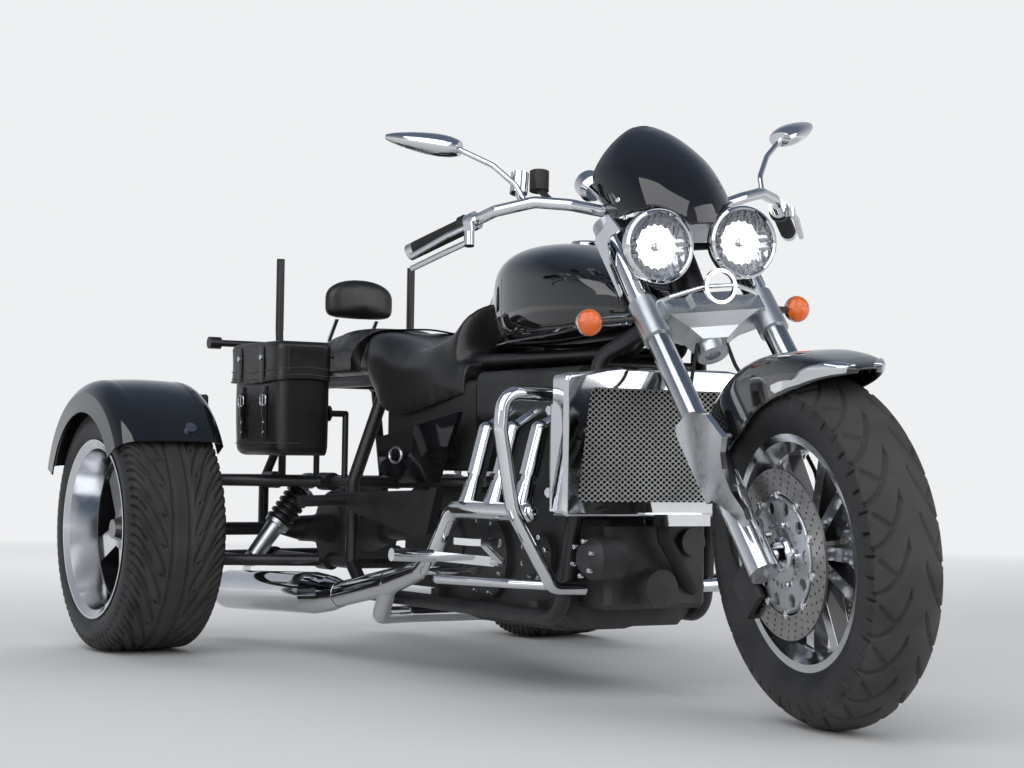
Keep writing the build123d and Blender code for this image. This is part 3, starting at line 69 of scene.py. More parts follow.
class Tree:
    """Short calls for adding nodes to a shader tree and joining them."""

    def __init__(self, tree: bpy.types.NodeTree) -> None:
        """Takes the tree that the calls work on.

        Args:
            tree: A material's, group's or world's node tree.
        """
        self.tree = tree

    def add(self, kind: str, **settings: object) -> Node:
        """Adds one node.

        Args:
            kind: The node's type without its ShaderNode prefix.
            settings: Attributes to set on it.

        Returns:
            The new node.
        """
        node = self.tree.nodes.new("ShaderNode" + kind)
        for name, value in settings.items():
            setattr(node, name, value)
        return node

    def join(self, start: Socket, end: Socket) -> None:
        """Joins an output socket to an input socket."""
        self.tree.links.new(start, end)

    def feed(self, node: Node, socket: str | int, value: object) -> None:
        """Gives an input either a link or a plain value.

        Args:
            node: The node that owns the input.
            socket: The input's name or number.
            value: An output socket, or a number or colour.
        """
        if isinstance(value, Socket):
            self.join(value, node.inputs[socket])
        else:
            node.inputs[socket].default_value = value

    def math(self, operation: str, a: object, b: object = 0.0, clamp: bool = False) -> Socket:
        """One arithmetic step on two values.

        Args:
            operation: The Math node's operation.
            a: The first value or socket.
            b: The second value or socket.
            clamp: Whether the result is held between 0 and 1.

        Returns:
            The result's socket.
        """
        node = self.add("Math", operation=operation, use_clamp=clamp)
        self.feed(node, 0, a)
        self.feed(node, 1, b)
        return node.outputs[0]

    def mix(self, factor: object, a: object, b: object) -> Socket:
        """A colour between two colours.

        Args:
            factor: How much of the second colour, 0 to 1.
            a: The first colour.
            b: The second colour.

        Returns:
            The mixed colour's socket.
        """
        node = self.add("Mix", data_type="RGBA")
        self.feed(node, 0, factor)
        self.feed(node, 6, a)
        self.feed(node, 7, b)
        return node.outputs[2]

    def span(self, value: object, low: object, high: object, to_low: object = 0.0,
             to_high: object = 1.0) -> Socket:
        """A value moved from one range to another and held inside it.

        Args:
            value: The value or socket.
            low: The first range's start.
            high: The first range's end.
            to_low: The second range's start.
            to_high: The second range's end.

        Returns:
            The result's socket.
        """
        node = self.add("MapRange")
        for i, given in enumerate((value, low, high, to_low, to_high)):
            self.feed(node, i, given)
        return node.outputs[0]

    def vector(self, operation: str, a: object, b: object = (0.0, 0.0, 0.0)) -> Socket:
        """One vector operation.

        Args:
            operation: The Vector Math node's operation.
            a: The first vector or socket.
            b: The second vector or socket.

        Returns:
            The result's socket, a value for a length or a dot product.
        """
        node = self.add("VectorMath", operation=operation)
        self.feed(node, 0, a)
        if operation != "LENGTH":
            self.feed(node, 1, b)
        return node.outputs["Value" if operation in ("LENGTH", "DOT_PRODUCT") else "Vector"]

    def noise(self, vector: object, scale: object, detail: float = 3.0) -> Socket:
        """Plain noise between 0 and 1.

        Args:
            vector: The coordinates' socket.
            scale: How fine the noise is.
            detail: How many finer layers it has.

        Returns:
            The noise value's socket.
        """
        node = self.add("TexNoise")
        self.feed(node, "Vector", vector)
        self.feed(node, "Scale", scale)
        node.inputs["Detail"].default_value = detail
        return node.outputs[0]


class Effect:
    """Shader node groups that several finishes share, each built the first time it is asked for."""

    made: dict[str, bpy.types.NodeTree] = {}

    @classmethod
    def get(cls, name: str) -> bpy.types.NodeTree:
        """The group of a name: smears, road_dust or grain."""
        if name not in cls.made:
            {"smears": cls.smears, "road_dust": cls.road_dust, "grain": cls.grain}[name]()
        return cls.made[name]

    @classmethod
    def start(cls, name: str, inputs: dict[str, tuple[str, object]],
              outputs: dict[str, str]) -> tuple[Tree, Node, Node]:
        """Begins a group with named sockets.

        Args:
            name: The group's name.
            inputs: Each input's socket kind and default.
            outputs: Each output's socket kind.

        Returns:
            The group's tree, its input node and its output node.
        """
        tree = bpy.data.node_groups.new(name, "ShaderNodeTree")
        for label, (kind, value) in inputs.items():
            socket = tree.interface.new_socket(
                label, in_out="INPUT", socket_type="NodeSocket" + kind)
            if value is not None:
                socket.default_value = value
        for label, kind in outputs.items():
            tree.interface.new_socket(label, in_out="OUTPUT", socket_type="NodeSocket" + kind)
        cls.made[name] = tree
        work = Tree(tree)
        return work, work.tree.nodes.new("NodeGroupInput"), work.tree.nodes.new("NodeGroupOutput")

    @classmethod
    def smears(cls) -> None:
        """Cloudy wiping marks: broad noise and fine noise, seven to three, spread between two values."""
        t, start, end = cls.start(
            "smears",
            {"Vector": ("Vector", None), "Scale": ("Float", 6.0), "Low": ("Float", 0.03),
             "High": ("Float", 0.1)},
            {"Value": "Float"},
        )
        broad = t.noise(start.outputs["Vector"], start.outputs["Scale"], 4.0)
        finer = t.math("MULTIPLY", start.outputs["Scale"], 9.0)
        fine = t.noise(start.outputs["Vector"], finer, 2.0)
        total = t.math("ADD", t.math("MULTIPLY", broad, 0.7), t.math("MULTIPLY", fine, 0.3))
        spread = t.span(total, 0.35, 0.7, start.outputs["Low"], start.outputs["High"])
        t.join(spread, end.inputs["Value"])

    @classmethod
    def road_dust(cls) -> None:
        """Dust that thins out with height above the road and gathers in uneven patches."""
        t, start, end = cls.start(
            "road_dust", {"Vector": ("Vector", None), "Top": ("Float", 0.8)}, {"Mask": "Float"})
        split = t.add("SeparateXYZ")
        t.join(start.outputs["Vector"], split.inputs[0])
        low = t.span(split.outputs[2], 0.0, start.outputs["Top"], 1.0, 0.0)
        patch = t.span(t.noise(start.outputs["Vector"], 14.0, 6.0), 0.35, 0.75)
        t.join(t.math("MULTIPLY", low, patch, True), end.inputs["Mask"])

    @classmethod
    def grain(cls) -> None:
        """Pebbled hide or cast skin: cell edges with fine noise over them, as a height."""
        t, start, end = cls.start(
            "grain",
            {"Vector": ("Vector", None), "Scale": ("Float", 300.0), "Soft": ("Float", 0.5)},
            {"Height": "Float"},
        )
        cells = t.add("TexVoronoi", feature="SMOOTH_F1")
        t.join(start.outputs["Vector"], cells.inputs["Vector"])
        t.join(start.outputs["Scale"], cells.inputs["Scale"])
        fine = t.noise(start.outputs["Vector"], start.outputs["Scale"], 5.0)
        edges = t.math("MULTIPLY", cells.outputs["Distance"], start.outputs["Soft"])
        t.join(t.math("ADD", edges, fine), end.inputs["Height"])


COAT_ROUGHNESS = 0.03
EDGE_BLUR = 0.00025


@dataclass(frozen=True)
class Finish:
    """A painted, plated, cast or moulded finish over Object coordinates.

    Attributes:
        name: The material's name.
        slot: The record's slot that it stands for; not used.
        colour: Its main colour.
        gloss: Its roughness.
        metal: 1 for bare metal, 0 for anything else.
        coat: How much clear coat lies over it.
        uneven: How far its roughness wanders.
        bump: How deep its grain is, in metres.
        grain: How fine its grain is.
        dust: How much road dust lies on it.
        worn: How far its colour lightens and darkens in patches.
    """

    name: str
    slot: str
    colour: Point
    gloss: Gloss = Gloss.SATIN
    metal: float = 0.0
    coat: float = 0.0
    uneven: float = 0.05
    bump: float = 0.0
    grain: float = 250.0
    dust: float = 0.12
    worn: float = 0.15

    def tone(self, t: Tree, where: Socket, dust: Socket) -> tuple[Socket, Socket]:
        """Works out its colour and roughness: patches, then dust over them, and smears in the gloss.

        Args:
            t: The material's tree.
            where: The Object coordinates.
            dust: The dust's mask.

        Returns:
            The colour's socket and the roughness's socket.
        """
        patch = t.span(t.noise(where, 11.0, 5.0), 0.3, 0.7)
        light = tuple(min(1.0, c * (1 + self.worn) + 0.004 * self.worn) for c in self.colour)
        dark = tuple(c * (1 - self.worn) for c in self.colour)
        dusty = tuple(0.75 * c + 0.08 for c in self.colour)
        base = t.mix(patch, (*dark, 1.0), (*light, 1.0))
        smear = t.add("Group", node_tree=Effect.get("smears"))
        t.join(where, smear.inputs["Vector"])
        smear.inputs["Low"].default_value = max(0.01, self.gloss.value - 0.3 * self.uneven)
        smear.inputs["High"].default_value = self.gloss.value + self.uneven
        amount = t.math("MULTIPLY", dust, self.dust)
        rough = t.math("ADD", smear.outputs["Value"], t.math("MULTIPLY", amount, 0.4))
        return t.mix(amount, base, (*dusty, 1.0)), rough

    def texture(self, t: Tree, shader: Node, where: Socket) -> None:
        """Adds its grain as a bump.

        Args:
            t: The material's tree.
            shader: The material's shader.
            where: The Object coordinates.
        """
        if self.bump <= 0:
            return
        skin = t.add("Group", node_tree=Effect.get("grain"))
        t.join(where, skin.inputs["Vector"])
        skin.inputs["Scale"].default_value = self.grain
        bump = t.add("Bump")
        bump.inputs["Distance"].default_value = self.bump
        t.join(skin.outputs["Height"], bump.inputs["Height"])
        t.join(bump.outputs[0], shader.inputs["Normal"])

    def values(self, t: Tree, where: Socket, dust: Socket) -> dict[str, object]:
        """What its shader's inputs are given.

        Args:
            t: The material's tree.
            where: The Object coordinates.
            dust: The dust's mask.

        Returns:
            A socket or a plain value by each input's name.
        """
        colour, rough = self.tone(t, where, dust)
        return {"Base Color": colour, "Roughness": rough, "Metallic": self.metal, "Coat Weight": self.coat}

    def build(self) -> bpy.types.Material:
        """Makes the material once, and returns the same one after that.

        Returns:
            The material.
        """
        old = bpy.data.materials.get(self.name)
        if old is not None:
            return old
        material = bpy.data.materials.new(self.name)
        material.use_nodes = True
        t = Tree(material.node_tree)
        where = t.add("TexCoord").outputs["Object"]
        dust = t.add("Group", node_tree=Effect.get("road_dust"))
        t.join(where, dust.inputs["Vector"])
        shader = material.node_tree.nodes["Principled BSDF"]
        shader.inputs["Coat Roughness"].default_value = COAT_ROUGHNESS
        for name, value in self.values(t, where, dust.outputs["Mask"]).items():
            t.feed(shader, name, value)
        self.texture(t, shader, where)
        return material

    def dress(self, *nodes: str) -> None:
        """Puts the finish on whole CAD nodes.

        Args:
            nodes: The nodes' names.
        """
        for name in nodes:
            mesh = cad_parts[name].data
            mesh.materials.clear()
            mesh.materials.append(self.build())


@dataclass(frozen=True)
class TwoTone(Finish):
    """Two finishes on one part, told apart by a point's distance from a line, or along it.

    Attributes:
        far: The finish past the edge; the fields of this one are for the near side.
        point: A point on the line.
        direction: The line's direction.
        edge: The distance where one finish meets the other.
        along: Whether the distance is counted along the line.
    """

    far: Finish | None = None
    point: Point = (0.0, 0.0, 0.0)
    direction: Point = (0.0, 1.0, 0.0)
    edge: float = 0.19
    along: bool = False

    def reach(self, t: Tree, where: Socket, along: bool) -> Socket:
        """The distance along the line, (p - point) . d, or from it, |(p - point) x d|."""
        off = t.vector("SUBTRACT", where, self.point)
        if along:
            return t.vector("DOT_PRODUCT", off, self.direction)
        return t.vector("LENGTH", t.vector("CROSS_PRODUCT", off, self.direction))

    def mask(self, t: Tree, where: Socket) -> Socket:
        """0 on the near side, 1 past the edge, with a change half a millimetre wide."""
        return t.span(self.reach(t, where, self.along), self.edge - EDGE_BLUR, self.edge + EDGE_BLUR)

    def values(self, t: Tree, where: Socket, dust: Socket) -> dict[str, object]:
        """The near finish's values and the far one's, told apart by the mask."""
        mask = self.mask(t, where)
        near = super().values(t, where, dust)
        far = self.far.values(t, where, dust)
        both = {name: t.span(mask, 0.0, 1.0, near[name], far[name]) for name in near if name != "Base Color"}
        return {"Base Color": t.mix(mask, near["Base Color"], far["Base Color"]), **both}


@dataclass(frozen=True)
class CutSpokes(TwoTone):
    """A wheel with a bright lip and bright spoke faces on a dark casting.

    Attributes:
        slope: The radii where a spoke's sloping face starts and ends.
        face: The face's distances from the wheel's middle there.
        depth: How far below the face the bright metal fades out, and where it is full again.
    """

    slope: tuple[float, float] = (0.034, 0.196)
    face: tuple[float, float] = (0.022, 0.015)
    depth: tuple[float, float] = (-0.0012, -0.0004)

    def mask(self, t: Tree, where: Socket) -> Socket:
        """1 past the rim's edge, and where the distance along the axle is the sloping face's own."""
        radius = self.reach(t, where, False)
        lip = t.span(radius, self.edge - EDGE_BLUR, self.edge + EDGE_BLUR)
        face = t.span(radius, *self.slope, *self.face)
        across = t.math("ABSOLUTE", self.reach(t, where, True))
        cut = t.span(t.math("SUBTRACT", across, face), *self.depth)
        return t.math("MAXIMUM", lip, cut, True)


@dataclass(frozen=True)
class Glass(Finish):
    """Clear glass.

    Attributes:
        bending: Its index of refraction, low for a thin pane.
        haze: Its roughness as a share of its finish's own.
    """

    bending: float = 1.12
    haze: float = 0.5

    def values(self, t: Tree, where: Socket, dust: Socket) -> dict[str, object]:
        """Its values, with the light let through and a share of the roughness."""
        given = super().values(t, where, dust)
        haze = t.math("MULTIPLY", given["Roughness"], self.haze)
        return {**given, "Roughness": haze, "Transmission Weight": 1.0, "IOR": self.bending}


REAR_AXLE = (-0.993, 0.62, 0.309)
RIGHT_AXLE = (-0.993, -0.62, 0.309)
TURNED_HUB = (0.998312, -0.021249, 0.334945)
TURNED_AXLE = (0.157454, 0.982613, 0.098388)
FORK_FOOT = (1.0, 0.0, 0.336)
FORK_RISE = (-0.63877, 0.0, 0.76940)
LAMP_FACE = (-0.95, 0.0, 0.0)
RIM_LIP = 0.1905

GLOSS_BLACK = Finish(
    "gloss_black_paint", "black_paint", (0.006, 0.006, 0.007), Gloss.MIRROR, coat=1.0, uneven=0.03)
SATIN_BLACK = Finish(
    "satin_black_metal", "black_metal", (0.016, 0.016, 0.017), uneven=0.16, bump=0.0002, worn=0.35)
CAST_BLACK = Finish("cast_black_metal", "black_metal", (0.02, 0.02, 0.021), Gloss.SOFT, uneven=0.12,
                    bump=0.0005, grain=420.0, dust=0.5, worn=0.4)
CHROME = Finish(
    "chrome_plate", "chrome", (0.74, 0.75, 0.77), Gloss.MIRROR, metal=1.0, dust=0.06, worn=0.04)
SILVER = Finish("satin_silver", "silver", (0.56, 0.58, 0.6), metal=1.0, uneven=0.12, bump=0.00015,
                grain=700.0, worn=0.08)
POLISHED = Finish(
    "polished_alloy", "silver", (0.7, 0.71, 0.73), Gloss.POLISHED, metal=1.0, uneven=0.1, worn=0.06)
STEEL = Finish("brake_steel", "disc_steel", (0.4, 0.39, 0.38), metal=1.0, uneven=0.1)
GRIP = Finish("grip_rubber", "grip", (0.012, 0.012, 0.012), Gloss.MATT, uneven=0.1, bump=0.0004,
              grain=600.0)
LEATHER = Finish("black_leather", "leather", (0.009, 0.0085, 0.0085), coat=0.1, uneven=0.16,
                 bump=0.00035, grain=420.0, worn=0.35)
THREAD = Finish("seam_thread", "leather", (0.09, 0.086, 0.08), Gloss.MATT, uneven=0.1)
PLASTIC = Finish("black_plastic", "dark_plastic", (0.016, 0.016, 0.016), Gloss.SOFT, uneven=0.12,
                 bump=0.0003, grain=600.0)
SCREEN = Finish("dark_screen", "screen", (0.008, 0.008, 0.01), Gloss.MIRROR, coat=0.6, uneven=0.03)
AMBER = Finish("amber_lens", "amber", (0.85, 0.14, 0.002), Gloss.POLISHED, coat=0.8, bump=0.00015,
               grain=260.0, dust=0.0)
REFLECTOR = Finish(
    "lamp_bowl", "chrome", (0.4, 0.41, 0.43), Gloss.POLISHED, metal=1.0, uneven=0.04, dust=0.0)
GLASS = Glass("lamp_glass", "lens", (0.96, 0.97, 0.98), Gloss.MIRROR, coat=0.5, uneven=0.02,
              dust=0.0, worn=0.0)
BRIGHT_WIRE = Finish("bright_wire", "silver", (0.72, 0.72, 0.71), metal=1.0, uneven=0.12)
CORE = Finish("dark_core", "black_metal", (0.008, 0.008, 0.008), Gloss.MATT, uneven=0.1,
              bump=0.0006, grain=500.0)
FRONT_RIM = CutSpokes("cut_front_wheel", "black_paint", (0.012, 0.012, 0.013), coat=0.5, uneven=0.08,
                      far=POLISHED, point=TURNED_HUB, direction=TURNED_AXLE, edge=RIM_LIP)
REAR_RIM = TwoTone("lipped_rear_wheel", "black_paint", (0.009, 0.009, 0.01), Gloss.POLISHED, coat=0.8,
                   uneven=0.08, far=POLISHED, point=REAR_AXLE, edge=RIM_LIP)
FORK_TUBE = TwoTone("fork_tube", "silver", (0.5, 0.51, 0.53), Gloss.POLISHED, metal=1.0, uneven=0.08,
                    far=CHROME, point=FORK_FOOT, direction=FORK_RISE, edge=0.62, along=True)
TREAD = Finish("dusty_tread", "tyre", (0.038, 0.036, 0.033), Gloss.MATT, uneven=0.1, bump=0.0003,
               grain=500.0, dust=0.4, worn=0.3)
REAR_RUBBER = TwoTone("rear_tyre_rubber", "tyre", (0.013, 0.013, 0.014), Gloss.SOFT, uneven=0.15,
                      bump=0.0003, grain=500.0, dust=0.4, worn=0.3, far=TREAD, point=REAR_AXLE,
                      edge=0.296)
FRONT_RUBBER = replace(REAR_RUBBER, name="front_tyre_rubber", point=TURNED_HUB, direction=TURNED_AXLE,
                       edge=0.3)
REAR_LENSES = TwoTone("rear_lenses", "red_lens", (0.3, 0.006, 0.006), Gloss.POLISHED, coat=0.8,
                      bump=0.0004, grain=260.0, far=REFLECTOR, point=LAMP_FACE,
                      direction=(1.0, 0.0, 0.0), edge=0.0, along=True)


def shift(x: float, y: float, z: float) -> Array:
    """A 4 by 4 matrix that moves points by x, y and z."""
    matrix = np.eye(4)
    matrix[:3, 3] = (x, y, z)
    return matrix


def turn(axis: Point, degrees: float, point: Point = (0, 0, 0)) -> Array:
    """A 4 by 4 matrix that turns points about an axis through a point.

    Args:
        axis: The axis's direction.
        degrees: The angle, by the right hand.
        point: A point on the axis.

    Returns:
        The matrix.
    """
    around = np.array(Matrix.Rotation(radians(degrees), 4, Vector(axis)))
    return shift(*point) @ around @ shift(*(-np.array(point, float)))


def unit(vectors: Array) -> Array:
    """The vectors at length one."""
    return vectors / np.maximum(np.linalg.norm(vectors, axis=-1, keepdims=True), 1e-12)


def eased(value: Array, low: float, high: float) -> Array:
    """0 below low, 1 above high, and 3t^2 - 2t^3 between them."""
    t = np.clip((value - low) / (high - low), 0, 1)
    return t * t * (3 - 2 * t)


def around(count: int) -> Array:
    """Evenly spaced angles once round, without the last one, which is the first again."""
    return np.linspace(0, 2 * pi, count, endpoint=False)


def powered(value: Array, power: object) -> Array:
    """sign(v) |v|^p, which squares a circle's sine and cosine off where p is under 1."""
    return np.sign(value) * np.abs(value) ** power


def oval(a: Array, wide: Array, low: Array, high: Array, belt: float, across: tuple[float, float],
         upward: tuple[float, float]) -> tuple[Array, Array]:
    """Squared ovals, y = w |cos|^(2/n) and z = belt + h |sin|^(2/m), with other powers below the belt.

    Args:
        a: The angles.
        wide: Half the width.
        low: The underside's height.
        high: The top's height.
        belt: The widest place, as a share of the height.
        across: n above and below the belt.
        upward: m above and below the belt.

    Returns:
        The places across and up.
    """
    middle = low + belt * (high - low)
    above = np.sin(a) > 0
    n, m = (np.where(above, 2 / pair[0], 2 / pair[1]) for pair in (across, upward))
    tall = np.where(above, high - middle, middle - low)
    return wide * powered(np.cos(a), n), middle + tall * powered(np.sin(a), m)


def border(spots: Array) -> Array:
    """The line up one side of a grid of points, over its last row and down the other side."""
    return np.vstack([spots[:, 0], spots[-1, 1:-1], spots[::-1, -1]])


def through(points: object, count: int) -> Array:
    """A Catmull-Rom curve: each stretch is a cubic with slopes of half the step between its neighbours.

    Args:
        points: The points or rows of a table that the curve passes through.
        count: How many points it gives.

    Returns:
        The curve's points, one row each.
    """
    p = np.asarray(points, float)
    q = np.vstack([2 * p[0] - p[1], p, 2 * p[-1] - p[-2]])
    t = np.linspace(0, len(p) - 1, count)
    i = np.minimum(t.astype(int), len(p) - 2)
    f = (t - i)[:, None]
    a, b, c, d = q[i], q[i + 1], q[i + 2], q[i + 3]
    square = (2 * a - 5 * b + 4 * c - d) * f**2
    cube = (3 * b - a - 3 * c + d) * f**3
    return 0.5 * (2 * b + (c - a) * f + square + cube)


def arc(a: tuple[float, float], b: tuple[float, float], c: tuple[float, float],
        count: int) -> Array:
    """Points from a through b to c, evenly turned about the point at one distance from all three."""
    (ax, ay), (bx, by), (cx, cy) = a, b, c
    d = 2 * (ax * (by - cy) + bx * (cy - ay) + cx * (ay - by))
    sa, sb, sc = ax**2 + ay**2, bx**2 + by**2, cx**2 + cy**2
    ux = (sa * (by - cy) + sb * (cy - ay) + sc * (ay - by)) / d
    uy = (sa * (cx - bx) + sb * (ax - cx) + sc * (bx - ax)) / d
    start, middle, end = (np.arctan2(y - uy, x - ux) for x, y in (a, b, c))
    sweep = (end - start) % (2 * pi)
    if (middle - start) % (2 * pi) > sweep:
        sweep -= 2 * pi
    angle = start + sweep * np.linspace(0, 1, count)
    radius = np.hypot(ax - ux, ay - uy)
    return np.stack([ux + radius * np.cos(angle), uy + radius * np.sin(angle)], 1)


def evenly(line: Array, count: int) -> tuple[Array, Array]:
    """A line's points spread evenly by length, with how far along each one is."""
    far = np.concatenate([[0], np.cumsum(np.linalg.norm(np.diff(line, axis=0), axis=1))])
    at = np.linspace(0, far[-1], count)
    return np.stack([np.interp(at, far, line[:, k]) for k in range(line.shape[1])], 1), at


@dataclass
class Surface:
    """Points and faces worked on as whole arrays.

    Attributes:
        points: One row of three for each point.
        faces: Arrays of point numbers, one row for each face.
    """

    points: Array
    faces: list[Array]

    def moved(self, matrix: Array) -> "Surface":
        """The same surface with its points multiplied by a matrix."""
        spots = np.c_[self.points, np.ones(len(self.points))] @ matrix.T
        return Surface(spots[:, :3], self.faces)

    def mirrored(self) -> "Surface":
        """The surface on the machine's other side, with its faces turned round."""
        return Surface(self.points * (1, -1, 1), [face[:, ::-1] for face in self.faces])

    def both(self) -> "Surface":
        """The surface with its twin on the machine's other side."""
        return Surface.join([self, self.mirrored()])

    @staticmethod
    def join(surfaces: list["Surface"]) -> "Surface":
        """One surface from several."""
        starts = np.cumsum([0] + [len(s.points) for s in surfaces])
        faces = [face + start for s, start in zip(surfaces, starts) for face in s.faces]
        return Surface(np.vstack([s.points for s in surfaces]), faces)

    @staticmethod
    def grid(points: Array, wrap_u: bool = False, wrap_v: bool = False, ends: bool = False) -> "Surface":
        """A net of four-sided faces over a grid of points.

        Args:
            points: An array of rows, columns and three coordinates.
            wrap_u: Whether the last row joins the first.
            wrap_v: Whether the last column joins the first.
            ends: Whether the first and last rows are closed by flat faces.

        Returns:
            The surface.
        """
        rows, columns = points.shape[:2]
        number = np.arange(rows * columns).reshape(rows, columns)
        if wrap_u:
            number = np.vstack([number, number[:1]])
        if wrap_v:
            number = np.hstack([number, number[:, :1]])
        corners = [number[:-1, :-1], number[1:, :-1], number[1:, 1:], number[:-1, 1:]]
        faces = [np.stack(corners, -1).reshape(-1, 4)]
        if ends:
            last = number[:, :columns]
            faces += [last[:1], last[-1:, ::-1]]
        return Surface(points.reshape(-1, 3), faces)

    @staticmethod
    def lathe(profile: object, sides: int = 64) -> "Surface":
        """A profile of (radius, height) points turned about Z: x = r cos a, y = r sin a, z = height.

        Args:
            profile: The points, as rows of radius and height.
            sides: How many faces go round.

        Returns:
            The surface.
        """
        p = np.asarray(profile, float)
        a = np.radians(360.0 * np.arange(sides) / sides)[:, None]
        spots = np.stack([p[:, 0] * np.cos(a), p[:, 0] * np.sin(a), p[:, 1] + 0 * a], -1)
        return Surface.grid(spots, wrap_u=True)

    @staticmethod
    def tube(path: Array, radius: object, sides: int = 12, closed: bool = False, flat: float = 1.0,
             across: Point = (0.31, 0.2, 0.93)) -> "Surface":
        """A ring of points carried along a path: r (cos a n + flat sin a b), n and b square to it.

        Args:
            path: The path's points.
            radius: One radius, or one for each point.
            sides: How many faces go round.
            closed: Whether the path comes back to its start.
            flat: The ring's second width as a share of its first.
            across: The direction that b leans to.

        Returns:
            The surface, with flat ends where the path is open.
        """
        if closed:
            along = np.roll(path, -1, 0) - np.roll(path, 1, 0)
        else:
            along = np.gradient(path, axis=0)
        along = unit(along)
        n = unit(np.cross(np.array(across, float), along))
        b = np.cross(along, n)
        a = around(sides)
        ring = n[:, None] * np.cos(a)[:, None] + flat * b[:, None] * np.sin(a)[:, None]
        wide = np.broadcast_to(np.asarray(radius, float), (len(path),))[:, None, None]
        return Surface.grid(path[:, None] + ring * wide, wrap_u=closed, wrap_v=True, ends=not closed)


def facing(place: object, direction: object) -> Array:
    """A matrix that stands a piece made along +Z at a place, pointing in a direction."""
    z = unit(np.array(direction, float))
    x = unit(np.cross((0, 1, 0) if abs(z[1]) < 0.9 else (1, 0, 0), z))
    matrix = np.eye(4)
    matrix[:3, 0], matrix[:3, 1], matrix[:3, 2], matrix[:3, 3] = x, np.cross(z, x), z, place
    return matrix


def bolt(place: object, direction: object, radius: float = 0.006, proud: float = 0.006) -> Surface:
    """A round socket screw: a bevelled head with a sunk middle.

    Args:
        place: Where its head sits.
        direction: Which way it points.
        radius: The head's radius.
        proud: How far the head stands out.

    Returns:
        The screw's surface.
    """
    shares = np.array([
        (0, 0.45), (0.48, 0.45), (0.52, 1), (0.86, 1), (1, 0.8), (1, -0.3), (0, -0.3),
    ])
    return Surface.lathe(shares * (radius, proud), 20).moved(facing(place, direction))


def bolt_ring(centre: Point, radius: float, degrees: Array, head: float, proud: float) -> Surface:
    """Screws round a circle, all facing out along +Y.

    Args:
        centre: The circle's middle.
        radius: Its radius.
        degrees: Each screw's angle from +X towards +Z.
        head: A head's radius.
        proud: How far a head stands out.

    Returns:
        The screws as one surface.
    """
    x, y, z = centre
    return Surface.join([
        bolt((x + radius * cos(a), y, z + radius * sin(a)), (0, 1, 0), head, proud)
        for a in np.radians(degrees)
    ])


def linked(name: str, data: bpy.types.ID) -> bpy.types.Object:
    """A new object of the scene, made from a mesh, a camera or a lamp."""
    made = bpy.data.objects.new(name, data)
    bpy.context.scene.collection.objects.link(made)
    return made


@dataclass
class Piece:
    """A finished piece of the scene.

    Attributes:
        name: The object's name.
        body: The body that it rides on.
        parts: Pairs of a surface and its finish.
        stands_for: The CAD nodes that it takes the place of.
        smooth: Edges flatter than this many degrees are shaded round.
        wall: A wall's thickness, for an open surface.
    """

    name: str
    body: str
    parts: list[tuple[Surface, "Finish"]]
    stands_for: tuple[str, ...] = ()
    smooth: float = 38.0
    wall: float = 0.0

    def build(self) -> bpy.types.Object:
        """Makes the object, dresses it and puts it on its body.

        Returns:
            The object.
        """
        whole = Surface.join([surface for surface, _ in self.parts])
        mesh = bpy.data.meshes.new(self.name)
        rows = [row for face in whole.faces for row in face.tolist()]
        mesh.from_pydata(whole.points.tolist(), [], rows)
        finishes = []
        index = []
        for surface, finish in self.parts:
            if finish not in finishes:
                finishes.append(finish)
                mesh.materials.append(finish.build())
            index += [finishes.index(finish)] * sum(len(face) for face in surface.faces)
        mesh.polygons.foreach_set("material_index", index)
        work = bmesh.new()
        work.from_mesh(mesh)
        bmesh.ops.remove_doubles(work, verts=work.verts, dist=1e-6)
        bmesh.ops.recalc_face_normals(work, faces=work.faces)
        work.to_mesh(mesh)
        work.free()
        mesh.shade_smooth()
        mesh.set_sharp_from_angle(angle=radians(self.smooth))
        piece = linked(self.name, mesh)
        if self.wall:
            wall = piece.modifiers.new("wall", "SOLIDIFY")
            wall.thickness = self.wall
            wall.offset = 0.0
        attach(piece, self.body)
        if self.stands_for:
            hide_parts(*self.stands_for)
        log.info("piece %s, %d faces", self.name, len(mesh.polygons))
        return piece


FRONT_AXLE = (1.0, 0.0, 0.336)
HEAD_TOP = (1.075, 0, 0)
RAKE = radians(32)
PARKED_TURN = -10.7
STEER = turn((-sin(RAKE), 0, cos(RAKE)), PARKED_TURN, HEAD_TOP)
FRONT_WHEEL = STEER @ shift(*FRONT_AXLE)
FLIP = np.diag([1.0, -1.0, 1.0, 1.0])
ALONG_Y = turn((1, 0, 0), -90)
ALONG_X = turn((0, 1, 0), 90)
SENSOR = 36.0


